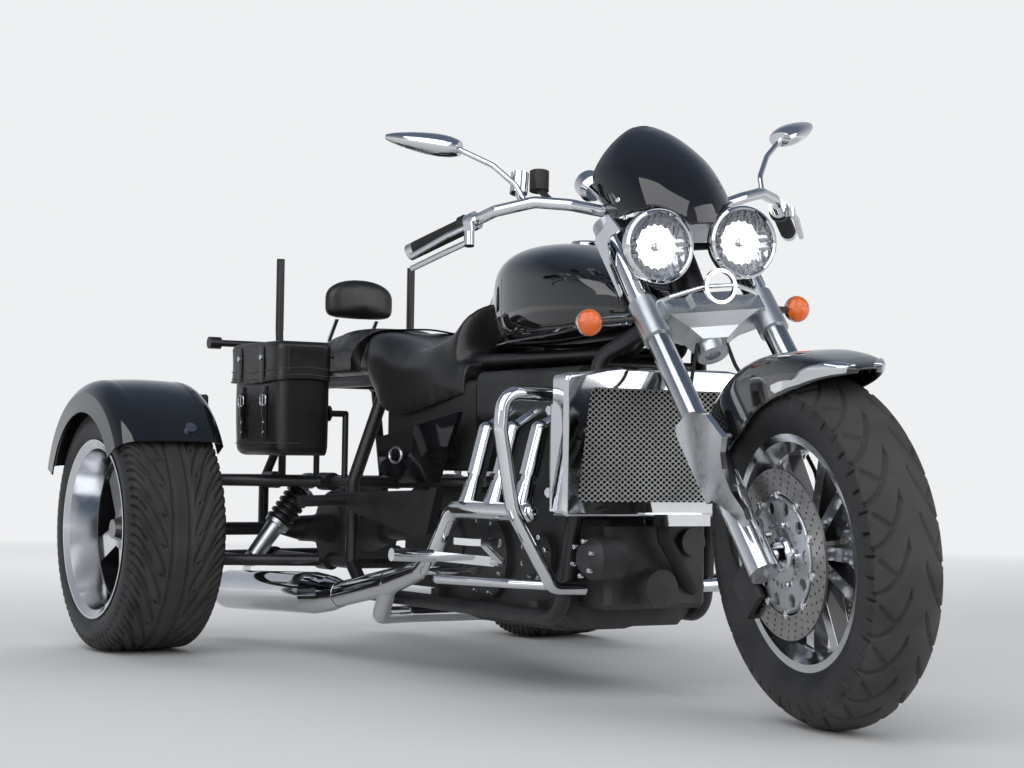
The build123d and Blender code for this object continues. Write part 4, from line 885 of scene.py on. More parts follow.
@dataclass(frozen=True)
class StudioCamera:
    """The camera at the photograph's place, angle and focal length.

    Attributes:
        place: Where it stands.
        yaw: Its heading, counted from +X towards +Y, in degrees.
        pitch: How far it looks up, in degrees.
        roll: How far it leans, in degrees.
        focal: Its focal length in picture widths.
    """

    place: Point = (3.9743, -2.4659, 0.4847)
    yaw: float = 149.27
    pitch: float = 2.3
    roll: float = 0.83
    focal: float = 2029.9 / 1024

    def build(self) -> bpy.types.Object:
        """Makes the camera from its three turned axes.

        Returns:
            The camera object.
        """
        yaw, pitch, roll = radians(self.yaw), radians(self.pitch), radians(self.roll)
        ahead = Vector((cos(pitch) * cos(yaw), cos(pitch) * sin(yaw), sin(pitch)))
        right = ahead.cross(Vector((0, 0, 1))).normalized()
        up = right.cross(ahead)
        side = right * cos(roll) + up * sin(roll)
        top = up * cos(roll) - right * sin(roll)
        data = bpy.data.cameras.new("photo_camera")
        data.sensor_fit = "HORIZONTAL"
        data.sensor_width = SENSOR
        data.lens = SENSOR * self.focal
        data.clip_end = 60.0
        camera = linked("photo_camera", data)
        axes = Matrix((side, top, -ahead)).transposed()
        camera.matrix_world = Matrix.Translation(self.place) @ axes.to_4x4()
        bpy.context.scene.camera = camera
        return camera


@dataclass
class Studio:
    """A pale floor, a pale surround and three soft lamps.

    Attributes:
        floor_size: The floor's side.
        floor_colour: The floor's colour.
        surround: The colour seen behind the machine.
        fade: The distances where the floor starts to fade into the surround, and where it ends.
        mirrored: The surround's colours in mirrors, level and overhead.
        climb: The heights where the first of them ends and the second is full.
        dim: The surround's strength where it only lights.
        lamps: Each lamp's name, place, aim, size and power.
    """

    floor_size: float = 40.0
    floor_colour: Point = (0.74, 0.74, 0.735)
    surround: Point = (0.86, 0.87, 0.88)
    fade: tuple[float, float] = (2.6, 8.0)
    mirrored: tuple[tuple, tuple] = ((0.62, 0.64, 0.67, 1.0), (0.13, 0.16, 0.22, 1.0))
    climb: tuple[float, float] = (0.02, 0.75)
    dim: float = 0.52
    lamps: dict[str, tuple[tuple, tuple, float, float]] = field(default_factory=lambda: {
        "key": ((3.4, -4.2, 4.6), (0.3, 0.0, 0.5), 7.5, 330.0),
        "fill": ((4.8, 2.6, 2.7), (0.4, 0.0, 0.5), 4.6, 120.0),
        "back": ((-4.2, 1.2, 4.0), (-0.4, 0.0, 0.6), 7.0, 230.0),
    })

    @staticmethod
    def seen(t: Tree) -> tuple[Socket, Socket]:
        """1 for a ray from the camera or through glass, and 1 for those and a mirror's.

        Args:
            t: The tree that asks.

        Returns:
            Both values' sockets.
        """
        path = t.add("LightPath")
        straight = t.math("MAXIMUM", path.outputs["Is Camera Ray"], path.outputs["Is Transmission Ray"])
        return straight, t.math("MAXIMUM", straight, path.outputs["Is Glossy Ray"])

    def build_floor(self) -> bpy.types.Object:
        """Makes the floor, a single square with a slightly uneven tone that fades into the surround.

        Returns:
            The floor object.
        """
        half = self.floor_size / 2
        corners = [(-half, -half, 0), (half, -half, 0), (half, half, 0), (-half, half, 0)]
        mesh = bpy.data.meshes.new("floor")
        mesh.from_pydata(corners, [], [(0, 1, 2, 3)])
        floor = linked("floor", mesh)
        material = bpy.data.materials.new("studio_floor")
        material.use_nodes = True
        t = Tree(material.node_tree)
        shader = material.node_tree.nodes["Principled BSDF"]
        tone = t.noise(t.add("TexCoord").outputs["Object"], 1.2, 4.0)
        darker = tuple(0.97 * c for c in self.floor_colour)
        t.feed(shader, "Base Color", t.mix(tone, (*self.floor_colour, 1.0), (*darker, 1.0)))
        shader.inputs["Roughness"].default_value = 0.85
        away = t.vector("LENGTH", t.add("TexCoord").outputs["Object"])
        _, seen = self.seen(t)
        glow = t.add("Emission")
        t.feed(glow, "Color", (*self.surround, 1.0))
        blend = t.add("MixShader")
        t.join(t.math("MULTIPLY", t.span(away, *self.fade), seen), blend.inputs[0])
        t.join(shader.outputs[0], blend.inputs[1])
        t.join(glow.outputs[0], blend.inputs[2])
        t.join(blend.outputs[0], material.node_tree.nodes["Material Output"].inputs[0])
        mesh.materials.append(material)
        return floor

    def build_world(self) -> None:
        """Makes the surround: pale to the eye and to mirrors, and dimmer where it only lights."""
        world = bpy.data.worlds.new("surround")
        bpy.context.scene.world = world
        world.use_nodes = True
        t = Tree(world.node_tree)
        world.node_tree.nodes.clear()
        seen, glossy = self.seen(t)
        split = t.add("SeparateXYZ")
        t.join(t.add("TexCoord").outputs["Generated"], split.inputs[0])
        high = t.span(split.outputs[2], *self.climb)
        colour = t.mix(seen, t.mix(high, *self.mirrored), (*self.surround, 1.0))
        strength = t.span(glossy, 0.0, 1.0, self.dim, 1.0)
        back = t.add("Background")
        t.join(colour, back.inputs["Color"])
        t.join(strength, back.inputs["Strength"])
        end = t.add("OutputWorld")
        t.join(back.outputs[0], end.inputs[0])

    def build_lamps(self) -> None:
        """Hangs the square area lamps, each turned towards its aim."""
        for name, (place, aim, size, power) in self.lamps.items():
            data = bpy.data.lights.new(name, "AREA")
            data.size = size
            data.energy = power
            lamp = linked(name, data)
            lamp.location = place
            lamp.visible_glossy = name != "back"
            lamp.visible_camera = False
            lamp.rotation_euler = (Vector(aim) - Vector(place)).to_track_quat("-Z", "Y").to_euler()

    def build(self) -> None:
        """Makes the whole studio."""
        self.build_floor()
        self.build_world()
        self.build_lamps()
        bpy.context.scene.view_settings.view_transform = "Standard"


@dataclass
class Tyre:
    """A road tyre: a profile turned about its axle, with a tread cut into it.

    Attributes:
        name: The piece's name.
        node: The CAD node that it takes the place of.
        body: The body that it rides on.
        place: The matrix of its centre, with +Y along the axle.
        arcs: The half profile from crown to bead, as three-point arcs of (radius, width).
        tread_edge: How far from the crown the tread reaches, along the surface.
        pitches: How many times the pattern repeats.
        depth: The grooves' depth.
        steps: Faces around and across.
        finish: The rubber's finish.
        ribs: Two raised lines' heights and widths, past the tread and above the bead.
        rib_gaps: The first one's distance from the tread's edge, and the second's from the bead.
        soft: Half the distance over which a groove's end rises.
    """

    name: str
    node: str
    body: str
    place: Array
    arcs: list[tuple]
    tread_edge: float
    pitches: int
    depth: float
    steps: tuple[int, int]
    finish: Finish
    ribs: tuple = ((0.0012, 0.0018), (0.001, 0.002))
    rib_gaps: tuple[float, float] = (0.012, 0.016)
    soft: float = 0.0015

    def tread(self, along: Array, across: Array, side: Array) -> Array:
        """How deep the tread is cut, 0 to 1, at places along and across it."""
        raise NotImplementedError

    def girth(self) -> float:
        """The crown's radius."""
        return self.arcs[0][0][0]

    def pitch(self) -> float:
        """The length of one repeat of the pattern."""
        return 2 * pi * self.girth() / self.pitches

    def groove(self, along: Array, across: Array, course: Callable[[Array], Array], start: float,
               end: float, width: float) -> Array:
        """A groove that follows along = course(across), repeated at each pitch.

        The distance to that line is the step along the tyre over the root of 1 + slope squared. The cut
        eases from 1 to 0 where the distance grows from 0.28 to 0.72 of the width.

        Args:
            along: Places around the tyre.
            across: Distances from the crown.
            course: The groove's line.
            start: The distance from the crown where it starts.
            end: The distance where it ends.
            width: Its width.

        Returns:
            The cut, 0 to 1.
        """
        pitch = self.pitch()
        slope = (course(across + 1e-4) - course(across - 1e-4)) / 2e-4
        away = (along - course(across) + pitch / 2) % pitch - pitch / 2
        near = np.abs(away) / np.sqrt(1 + slope**2)
        begun = eased(across, start - self.soft, start + self.soft)
        ended = eased(across, end - self.soft, end + self.soft)
        return (1 - eased(near, 0.28 * width, 0.72 * width)) * begun * (1 - ended)

    def build(self) -> bpy.types.Object:
        """Turns the profile, x = r cos a and z = r sin a, with each point sunk by the tread's cut.

        Returns:
            The tyre.
        """
        rounds, columns = self.steps
        half = np.vstack([arc(*points, 60)[min(i, 1):] for i, points in enumerate(self.arcs)])
        line = np.vstack([half[::-1] * (1, -1), half[1:]])
        profile, at = evenly(line, columns)
        crown = at[-1] / 2
        step = np.gradient(profile, axis=0)
        normal = unit(np.stack([step[:, 1], -step[:, 0]], 1))
        angle = around(rounds)[:, None]
        side = np.sign(at - crown)[None, :]
        across = np.abs(at - crown)[None, :]
        cut = self.tread(angle * self.girth(), across, side) * self.depth
        middles = (self.tread_edge + self.rib_gaps[0], crown - self.rib_gaps[1])
        rib = sum(high * np.exp(-(((across - middle) / wide) ** 2))
                  for middle, (high, wide) in zip(middles, self.ribs))
        off = (rib - cut)[..., None] * normal[None]
        r = profile[None, :, 0] + off[..., 0]
        y = profile[None, :, 1] + off[..., 1]
        spots = np.stack([r * np.cos(angle), y + 0 * angle, r * np.sin(angle)], -1)
        tyre = Surface.grid(spots, wrap_u=True, wrap_v=True)
        parts = [(tyre.moved(self.place), self.finish)]
        return Piece(self.name, self.body, parts, (self.node,), smooth=50).build()


@dataclass
class FrontTyre(Tyre):
    """The front tyre: long arcs from the shoulders to a plain crown, each met by a straight cut."""

    def tread(self, along: Array, across: Array, side: Array) -> Array:
        """The deepest of the arc, the straight cut and the two shoulder ticks of each side."""
        shifted = along + np.where(side > 0, self.pitch() / 2, 0)

        def sweep(s: Array) -> Array:
            """The arc's line: a power curve that runs round the tyre near the crown."""
            q = np.clip((s - 0.014) / 0.074, 0, 1)
            return -0.062 + 0.095 * (1 - q) ** 2.3

        def straight(s: Array) -> Array:
            """The straight cut's line."""
            return 0.004 - 1.05 * (0.072 - s)

        cuts = [
            self.groove(shifted, across, sweep, 0.014, 0.088, 0.0078),
            self.groove(shifted, across, straight, 0.038, 0.072, 0.0078),
            self.groove(shifted, across, lambda s: -0.03 + 0 * s, 0.084, 0.104, 0.005),
            self.groove(shifted, across, lambda s: 0.012 + 0 * s, 0.078, 0.102, 0.005),
        ]
        return np.maximum.reduce(cuts)


@dataclass
class RearTyre(Tyre):
    """A rear tyre: two grooves round its crown, and cuts that curve from there to the shoulders."""

    def tread(self, along: Array, across: Array, side: Array) -> Array:
        """The deepest of the round grooves, the three curved cuts and the small cross cuts."""
        shifted = along + np.where(side > 0, 0.4 * self.pitch(), 0)

        def curve(start: float, drop: float, late: float) -> Callable[[Array], Array]:
            """A cut that falls back steeply near the crown and lies nearly square to it at the shoulder."""
            def line(s: Array) -> Array:
                """The cut's line."""
                q = np.clip((s - start) / (0.135 - start), 0, 1)
                return late - drop * (1 - q) ** 1.9
            return line

        round_groove = (1 - eased(np.abs(across - 0.021), 0.004, 0.0075)) + 0 * along
        cuts = [
            round_groove,
            self.groove(shifted, across, curve(0.034, 0.15, 0.0), 0.034, 0.14, 0.0078),
            self.groove(shifted, across, curve(0.056, 0.11, 0.026), 0.056, 0.14, 0.0062),
            self.groove(shifted, across, curve(0.082, 0.05, 0.052), 0.088, 0.14, 0.0058),
            self.groove(shifted, across, lambda s: 0.03 + 0.9 * s, 0.042, 0.052, 0.0044),
        ]
        return np.maximum.reduce(cuts)


@dataclass
class Discs:
    """The two front brake discs, with drilled rings on open carriers.

    Attributes:
        radius: The disc's radius.
        inner: The drilled ring's inner radius.
        row: The width of one row of holes.
        across: How far each lies from the wheel's middle.
        thick: The disc's thickness.
    """

    radius: float = 0.16
    inner: float = 0.114
    row: float = 0.0115
    across: float = 0.08
    thick: float = 0.005

    def drilled(self, inner: float, outer: float, count: int, hole: float, phase: float) -> Surface:
        """A ring of tiles, each with a round hole.

        A tile's edge goes round (radius + half depth times p, angle + half step times q), where (p, q)
        follows a square; the hole's edge lies towards the same (p, q) at the hole's radius.

        Args:
            inner: The ring's inner radius.
            outer: Its outer radius.
            count: How many tiles go round.
            hole: The hole's radius.
            phase: How far the first tile is turned, in tiles.

        Returns:
            The ring, both faces and the holes' walls.
        """
        side = np.linspace(-1, 1, 5)[:-1]
        p = np.concatenate([side, np.ones(4), -side, -np.ones(4)])
        q = np.concatenate([-np.ones(4), side, np.ones(4), -side])
        middle, deep = (inner + outer) / 2, (outer - inner) / 2
        centre = 2 * pi * (np.arange(count)[:, None] + phase) / count
        r, a = middle + deep * p[None] + 0 * centre, centre + pi / count * q[None]
        towards = np.arctan2(q, p)[None]
        reach, aside = middle + hole * np.cos(towards), hole * np.sin(towards)
        hx = reach * np.cos(centre) - aside * np.sin(centre)
        hz = reach * np.sin(centre) + aside * np.cos(centre)
        half = self.thick / 2 + 0 * r
        corners = [(r * np.cos(a), -half, r * np.sin(a)), (hx, -half, hz), (hx, half, hz),
                   (r * np.cos(a), half, r * np.sin(a))]
        rings = np.stack([np.stack(row, -1) for row in corners], 1)
        number = np.arange(rings[..., 0].size).reshape(rings.shape[:3])
        ahead = np.roll(number, -1, 2)
        quads = np.stack([number[:, :-1], number[:, 1:], ahead[:, 1:], ahead[:, :-1]], -1)
        return Surface(rings.reshape(-1, 3), [quads.reshape(-1, 4)])

    def rim(self, radius: float, wide: float) -> Surface:
        """A plain round edge of a radius and width."""
        return Surface.lathe([(radius, -wide / 2), (radius, wide / 2)], 120).moved(ALONG_Y)

    def build(self) -> None:
        """Makes both discs with their carriers, buttons and bosses."""
        plate = [
            self.drilled(self.inner + self.row * i, self.inner + self.row * (i + 1), 30 + 2 * i, 0.0026,
                         0.37 * i)
            for i in range(4)
        ]
        plate += [self.rim(radius, self.thick) for radius in (self.radius, self.inner)]
        carrier = [self.drilled(0.068, 0.11, 10, 0.0125, 0.0), self.drilled(0.05, 0.068, 24, 0.0052, 0.5),
                   self.rim(0.11, self.thick)]
        screws = [
            bolt_ring((0, 0.0022, 0), 0.112, 18 + 36 * np.arange(10), 0.0085, 0.0032),
            bolt_ring((0, 0.0024, 0), 0.058, 72 * np.arange(5), 0.006, 0.006),
        ]
        boss = Surface.lathe([
            (0.031, -0.018), (0.05, -0.018), (0.05, 0.0024), (0.034, 0.0024), (0.031, 0.008),
            (0.026, 0.008), (0.026, -0.018), (0.031, -0.018),
        ]).moved(ALONG_Y)
        place = shift(0, self.across, 0)
        groups = [(plate, STEEL), (carrier, SILVER), (screws, CHROME), ([boss], POLISHED)]
        parts = [
            (Surface.join(group).moved(place).both().moved(FRONT_WHEEL), finish)
            for group, finish in groups
        ]
        Piece("drilled_discs", "front_wheel", parts, ("front_discs",), smooth=30).build()


@dataclass
class Lamps:
    """The twin headlamps' reflectors, glasses and rims, and the side lamps.

    Attributes:
        place: The left lamp's front, before the steering is turned.
        radius: The glass's radius.
        bowl: The reflector's depth, and how far its edge lies behind the glass.
        rays: The radius of the small star at the reflector's middle.
        band: Half the height of the level panes across the reflector.
        signal: The left side lamp's place.
        signal_radius: The side lamp's radius.
    """

    place: Point = (0.617, 0.0965, 0.944)
    radius: float = 0.068
    bowl: tuple[float, float] = (0.03, 0.004)
    rays: float = 0.014
    band: float = 0.02
    signal: Point = (0.562, 0.241, 0.8)
    signal_radius: float = 0.027

    def reflector(self) -> Surface:
        """A bowl, depth = -a (1 - (r/R)^2), with upright flutes, level panes between them and rays."""
        r = np.linspace(0.006, self.radius - 0.001, 46)[:, None]
        a = around(144)[None]
        y, z = r * np.cos(a), r * np.sin(a)
        deep, back = self.bowl
        bowl = -deep * (1 - (r / self.radius) ** 2) - back
        past_rays, level = r > self.rays, np.abs(z) <= self.band
        flutes = 0.0022 * np.abs(np.sin(y * 220)) * ~level * past_rays
        panes = 0.0026 * np.abs(np.sin(z * 190 + 0.6)) * level * past_rays
        rays = 0.0012 * np.sin(a * 18) * ~past_rays
        spots = np.stack([bowl + flutes + panes + rays, y + 0 * bowl, z + 0 * bowl], -1)
        return Surface.grid(spots, wrap_v=True)

    @staticmethod
    def pair(surface: Surface, place: Point) -> Surface:
        """A surface and its twin, stood at a place on the fork and turned with it."""
        return surface.moved(shift(*place)).both().moved(STEER)

    def build(self) -> None:
        """Makes the headlamps and the side lamps."""
        glass = Surface.lathe([
            (0, 0.0035), (0.02, 0.0032), (0.04, 0.002), (0.056, -0.0002), (0.066, -0.0035),
            (0.0675, -0.006),
        ], 96).moved(ALONG_X)
        rim = Surface.lathe([
            (0.067, -0.006), (0.0672, 0.001), (0.0705, 0.0042), (0.075, 0.0018), (0.0772, -0.004),
            (0.0772, -0.016), (0.0755, -0.019),
        ], 96).moved(ALONG_X)
        bulb = Surface.lathe([
            (0, 0.0), (0.0075, -0.0008), (0.0085, -0.003), (0.0085, -0.012), (0.005, -0.016),
            (0.005, -0.03), (0.012, -0.0335),
        ], 40).moved(ALONG_X @ shift(0, 0, -0.006))
        inner = Surface.lathe([(0.0, -0.036), (0.0675, -0.036), (0.0675, -0.0045)]).moved(ALONG_X)
        groups = [(self.reflector(), REFLECTOR), (bulb, CHROME), (inner, REFLECTOR)]
        parts = [(self.pair(surface, self.place), finish) for surface, finish in groups]
        Piece("headlamp_insides", "steering", parts, ("headlamp_lenses",), smooth=24).build()
        for name, surface, finish, smooth in (("glasses", glass, GLASS, 60), ("rims", rim, CHROME, 40)):
            parts = [(self.pair(surface, self.place), finish)]
            Piece("headlamp_" + name, "steering", parts, smooth=smooth).build()
        self.build_signals()

    def build_signals(self) -> None:
        """Makes the side lamps: an amber glass with upright ribs in front of a chrome bowl."""
        r, k = self.signal_radius, np.linspace(0.02, 1, 22)[:, None]
        a = around(96)[None]
        y, z = k * r * np.cos(a), k * r * np.sin(a)
        ribs = 0.0004 * np.cos(y * 2600)
        front = 0.018 * np.sqrt(np.clip(1 - (0.97 * k) ** 2, 0, 1)) + ribs
        lens = Surface.grid(np.stack([front, y, z], -1), wrap_v=True)
        bowl = Surface.lathe([
            (r, 0.004), (r + 0.0012, 0.0), (r + 0.0004, -0.008), (r - 0.004, -0.018),
            (r - 0.013, -0.0275), (0, -0.031),
        ]).moved(ALONG_X)
        path = through([
            (0.548, 0.214, 0.8), (0.552, 0.2, 0.8), (0.57, 0.176, 0.8), (0.59, 0.164, 0.8),
        ], 16)
        stem = Surface.tube(path, np.linspace(0.0085, 0.0125, 16), 20)
        parts = [(self.pair(lens, self.signal), AMBER), (self.pair(bowl, self.signal), CHROME),
                 (stem.both().moved(STEER), CHROME)]
        Piece("side_lamps", "steering", parts, ("indicators",), smooth=30).build()


@dataclass
class FrontGuard:
    """The front mudguard and its bright spear.

    Attributes:
        stations: Rows of angle up from straight ahead, crown radius, half width and lower radius.
        wall: The wall's thickness.
        arch: The share of a section that runs over the top.
        lug: The fixing lug's radius from the axle, its two ends across and its angle.
    """

    stations: tuple = (
        (150, 0.3725, 0.084, 0.268), (138, 0.3725, 0.085, 0.261), (126, 0.3725, 0.086, 0.257),
        (114, 0.3725, 0.086, 0.258), (102, 0.3725, 0.086, 0.272), (90, 0.3725, 0.086, 0.287),
        (79, 0.3755, 0.084, 0.306), (71, 0.381, 0.078, 0.329), (64.5, 0.3885, 0.064, 0.356),
        (60, 0.3945, 0.045, 0.377), (57.5, 0.397, 0.02, 0.39),
    )
    wall: float = 0.0032
    arch: float = 0.62
    lug: tuple[float, float, float, float] = (0.284, 0.08, 0.0985, -39.7)

    def section(self, row: Array, q: Array) -> Array:
        """One station's points, over the top while t = |q| / arch is under 1 and then down the side.

        Over the top y = w sin(pi t / 2)^0.92, and r falls from the crown by
        0.05 k (1 - sqrt(1 - 0.995 t^3.2)), with k under 1 where the side is shallow.

        Args:
            row: Angle, crown radius, half width and lower radius.
            q: The points' places across, -1 to 1.

        Returns:
            The points about the wheel's centre.
        """
        angle, crown, wide, low = row
        k = min(1.0, (crown - low) / 0.06)
        t = np.clip(np.abs(q) / self.arch, 0, 1)
        y = wide * np.sin(t * pi / 2) ** 0.92
        drop = 0.05 * k * (1 - np.sqrt(np.clip(1 - 0.995 * t**3.2, 0, 1)))
        down = np.clip((np.abs(q) - self.arch) / (1 - self.arch), 0, 1)
        top = crown - drop
        r = np.where(down > 0, top + (low - top) * down, top)
        a = radians(angle)
        return np.stack([r * cos(a), np.sign(q) * y, r * sin(a)], -1)

    def spear(self) -> Surface:
        """The left spear: a strip 3 mm outside the shell, between an upper and a lower line."""
        angles = np.linspace(87, 58.8, 56)
        table = np.array(self.stations)[::-1]
        rows = np.stack([np.interp(angles, table[:, 0], table[:, k]) for k in range(4)], 1)
        upper = np.interp(angles, (58.8, 62, 66, 72, 80, 87), (0.2, 0.3, 0.5, 0.6, 0.68, 0.77))
        lower = np.interp(angles, (58.8, 66, 78, 84, 87), (0.8, 0.9, 0.93, 0.97, 0.84))
        return Surface.grid(np.stack([
            self.section(row + (0, 0.003, 0.003, 0), np.linspace(high, low, 13))
            for row, high, low in zip(rows, upper, lower)
        ]))

    def build(self) -> None:
        """Makes the shell, its rolled edge and the spear along it."""
        rows = through(self.stations, 72)
        spots = np.stack([self.section(row, np.linspace(-1, 1, 61)) for row in rows])
        shell = Surface.grid(spots).moved(FRONT_WHEEL)
        Piece("front_mudguard", "steering", [(shell, GLOSS_BLACK)], ("front_fender",),
              wall=self.wall).build()
        edge = Surface.tube(evenly(border(spots), 240)[0], 0.0022, 8)
        up, near, far, degrees = self.lug
        path = np.array([(0, y, up) for y in np.linspace(near, far, 4)])
        lug = Surface.tube(path, 0.009, 20).moved(turn((0, 1, 0), degrees))
        parts = [(edge.moved(FRONT_WHEEL), GLOSS_BLACK), (lug.both().moved(FRONT_WHEEL), SILVER)]
        Piece("mudguard_trim", "steering", parts, smooth=45).build()
        parts = [(self.spear().both().moved(FRONT_WHEEL), CHROME)]
        Piece("mudguard_spear", "steering", parts, wall=0.0035, smooth=45).build()


@dataclass
class Grille:
    """The bright woven mesh in the radiator's window.

    Attributes:
        front: The mesh's place along X.
        half_width: Half its width.
        low: Its lower edge.
        high: Its upper edge.
        cell: The width and height of one diamond.
        wire: The wire's radius.
        weave: How far a wire moves out where it crosses another, in radii.
        shortest: The shortest wire that is made.
        steps: Points along a wire and around it.
    """

    front: float = 0.4585
    half_width: float = 0.232
    low: float = 0.399
    high: float = 0.657
    cell: tuple[float, float] = (0.0150, 0.0115)
    wire: float = 0.00105
    weave: float = 1.1
    shortest: float = 0.004
    steps: tuple[int, int] = (84, 5)

    def build(self) -> None:
        """Weaves two families of slanting wires, each moving out and in by a sine where they cross."""
        wide, tall = self.cell
        middle = (self.low + self.high) / 2
        half = (self.high - self.low) / 2
        reach = int(self.half_width / wide + half / tall)
        k = np.arange(-reach, reach + 1)[:, None]
        t = np.linspace(-1, 1, self.steps[0])[None]
        a = around(self.steps[1])
        wires = []
        for slope in (1, -1):
            first = np.maximum(-half, (k * wide - self.half_width) * tall / wide)
            last = np.minimum(half, (k * wide + self.half_width) * tall / wide)
            z = (first + last) / 2 + (last - first) / 2 * t
            y = k * wide - z * wide / tall
            other = (y - z * wide / tall) / wide
            out = self.weave * self.wire * np.sin(pi * (other + 0.5)) * np.where(k % 2 == 0, 1, -1)
            line = np.stack([self.front + out * slope, slope * y, middle + z], -1)
            line = line[(last - first).ravel() > self.shortest]
            along = unit(np.gradient(line, axis=1))
            n = unit(np.cross(np.array((1.0, 0, 0)), along))
            b = np.cross(along, n)
            ring = n[:, :, None] * np.cos(a)[:, None] + b[:, :, None] * np.sin(a)[:, None]
            spots = line[:, :, None] + self.wire * ring
            wires += [Surface.grid(one, wrap_v=True) for one in spots]
        Piece("radiator_mesh", "chassis", [(Surface.join(wires), BRIGHT_WIRE)], smooth=80).build()


@dataclass
class Screen:
    """The fly screen: a smooth swept-back shell with its screws.

    Attributes:
        levels: Rows of height, crest, half width and side edge's place, from the bottom up.
        wall: The shell's thickness.
        clearance: How far from a lamp's middle the lower edge keeps.
        screws: The upper and lower screws' heights and places across.
    """

    levels: tuple = (
        (0.984, 0.629, 0.121, 0.515), (1.03, 0.615, 0.132, 0.465), (1.075, 0.584, 0.134, 0.424),
        (1.117, 0.546, 0.127, 0.392), (1.148, 0.51, 0.107, 0.384), (1.176, 0.468, 0.082, 0.384),
        (1.198, 0.428, 0.055, 0.384), (1.212, 0.396, 0.03, 0.38), (1.2165, 0.386, 0.012, 0.379),
    )
    wall: float = 0.004
    clearance: float = 0.0795
    screws: tuple = ((1.052, 0.76), (1.012, 0.8))

    def spot(self, row: Array, q: Array) -> Array:
        """Points across one level: y = half sin(pi q / 2), x = edge + (crest - edge) cos(pi q / 2)^1.15."""
        high, crest, wide, edge = row
        x = edge + (crest - edge) * np.clip(np.cos(pi * q / 2), 0, 1) ** 1.15
        return np.stack([x, wide * np.sin(pi * q / 2), high + 0 * q], -1)

    def build(self) -> None:
        """Makes the shell, its edge and four screws."""
        rows = through(self.levels, 64)
        q = np.linspace(-1, 1, 81)
        spots = np.stack([self.spot(row, q) for row in rows])
        _, lamp_y, lamp_z = Lamps.place
        inside = np.hypot(np.abs(spots[..., 1]) - lamp_y, spots[..., 2] - lamp_z)
        spots[..., 2] += np.clip(self.clearance - inside, 0, None) * 1.2
        shell = Surface.grid(spots).moved(STEER)
        Piece("fly_screen_shell", "steering", [(shell, SCREEN)], ("fly_screen",), wall=self.wall,
              smooth=60).build()
        edge = Surface.tube(evenly(border(spots), 200)[0], 0.0028, 8)
        levels = np.array(self.levels)
        screws = []
        for high, q in self.screws:
            row = np.array([np.interp(high, levels[:, 0], levels[:, k]) for k in range(4)])
            place = self.spot(row, np.array([q]))[0] + (0.001, 0.0015, 0)
            for side in ((1, 1, 1), (1, -1, 1)):
                screws.append(bolt(place * side, np.array((0.55, 0.8, 0.25)) * side, 0.0055, 0.003))
        parts = [(edge.moved(STEER), SCREEN), (Surface.join(screws).moved(STEER), CHROME)]
        Piece("screen_trim", "steering", parts, smooth=50).build()


@dataclass
class Tank:
    """The fuel tank.

    Attributes:
        stations: Rows of place along, half width, underside and top.
        belt: The share of a section's height where it is widest.
        across: How square its sides are, above and below the belt.
        upward: How square its top and its bottom are.
        filler: The filler cap's place.
        welt: The points along and up that the seam's bead passes through, on each side.
    """

    stations: tuple = (
        (-0.257, 0.006, 0.812, 0.85), (-0.252, 0.022, 0.79, 0.872), (-0.225, 0.037, 0.77, 0.897),
        (-0.18, 0.054, 0.757, 0.924), (-0.08, 0.108, 0.752, 0.955), (0.02, 0.16, 0.752, 0.977),
        (0.11, 0.186, 0.752, 0.985), (0.22, 0.191, 0.754, 0.974), (0.33, 0.172, 0.762, 0.938),
        (0.41, 0.132, 0.776, 0.896), (0.445, 0.09, 0.788, 0.866), (0.453, 0.06, 0.797, 0.85),
        (0.455, 0.02, 0.81, 0.835),
    )
    belt: float = 0.62
    across: tuple[float, float] = (2.5, 5.0)
    upward: tuple[float, float] = (2.35, 4.2)
    filler: Point = (0.15, 0, 0.983)
    welt: tuple = ((0.44, 0.796), (0.3, 0.768), (0.1, 0.757), (-0.1, 0.757), (-0.2, 0.768))

    def build(self) -> None:
        """Makes the tank, its cap and its seam."""
        rows = through(self.stations, 90)
        a = around(112)[None]
        x, wide, low, high = (rows[:, k:k + 1] for k in range(4))
        y, z = oval(a, wide, low, high, self.belt, self.across, self.upward)
        tank = Surface.grid(np.stack([x + 0 * a, y, z], -1), wrap_v=True, ends=True)
        cap = Surface.lathe([
            (0, 0.009), (0.02, 0.009), (0.026, 0.007), (0.034, 0.0065), (0.037, 0.003),
            (0.038, -0.006), (0, -0.006),
        ]).moved(facing(self.filler, (0.05, 0, 1)))
        seam = through(self.welt, 60)
        stations = np.array(self.stations)
        wide_at = np.interp(seam[:, 0], stations[:, 0], stations[:, 1])
        welt = Surface.tube(np.stack([seam[:, 0], wide_at * 0.975, seam[:, 1]], -1), 0.0026, 8)
        parts = [(tank, GLOSS_BLACK), (cap, CHROME), (welt.both(), GLOSS_BLACK)]
        Piece("tank_shell", "chassis", parts, ("fuel_tank",), smooth=50).build()


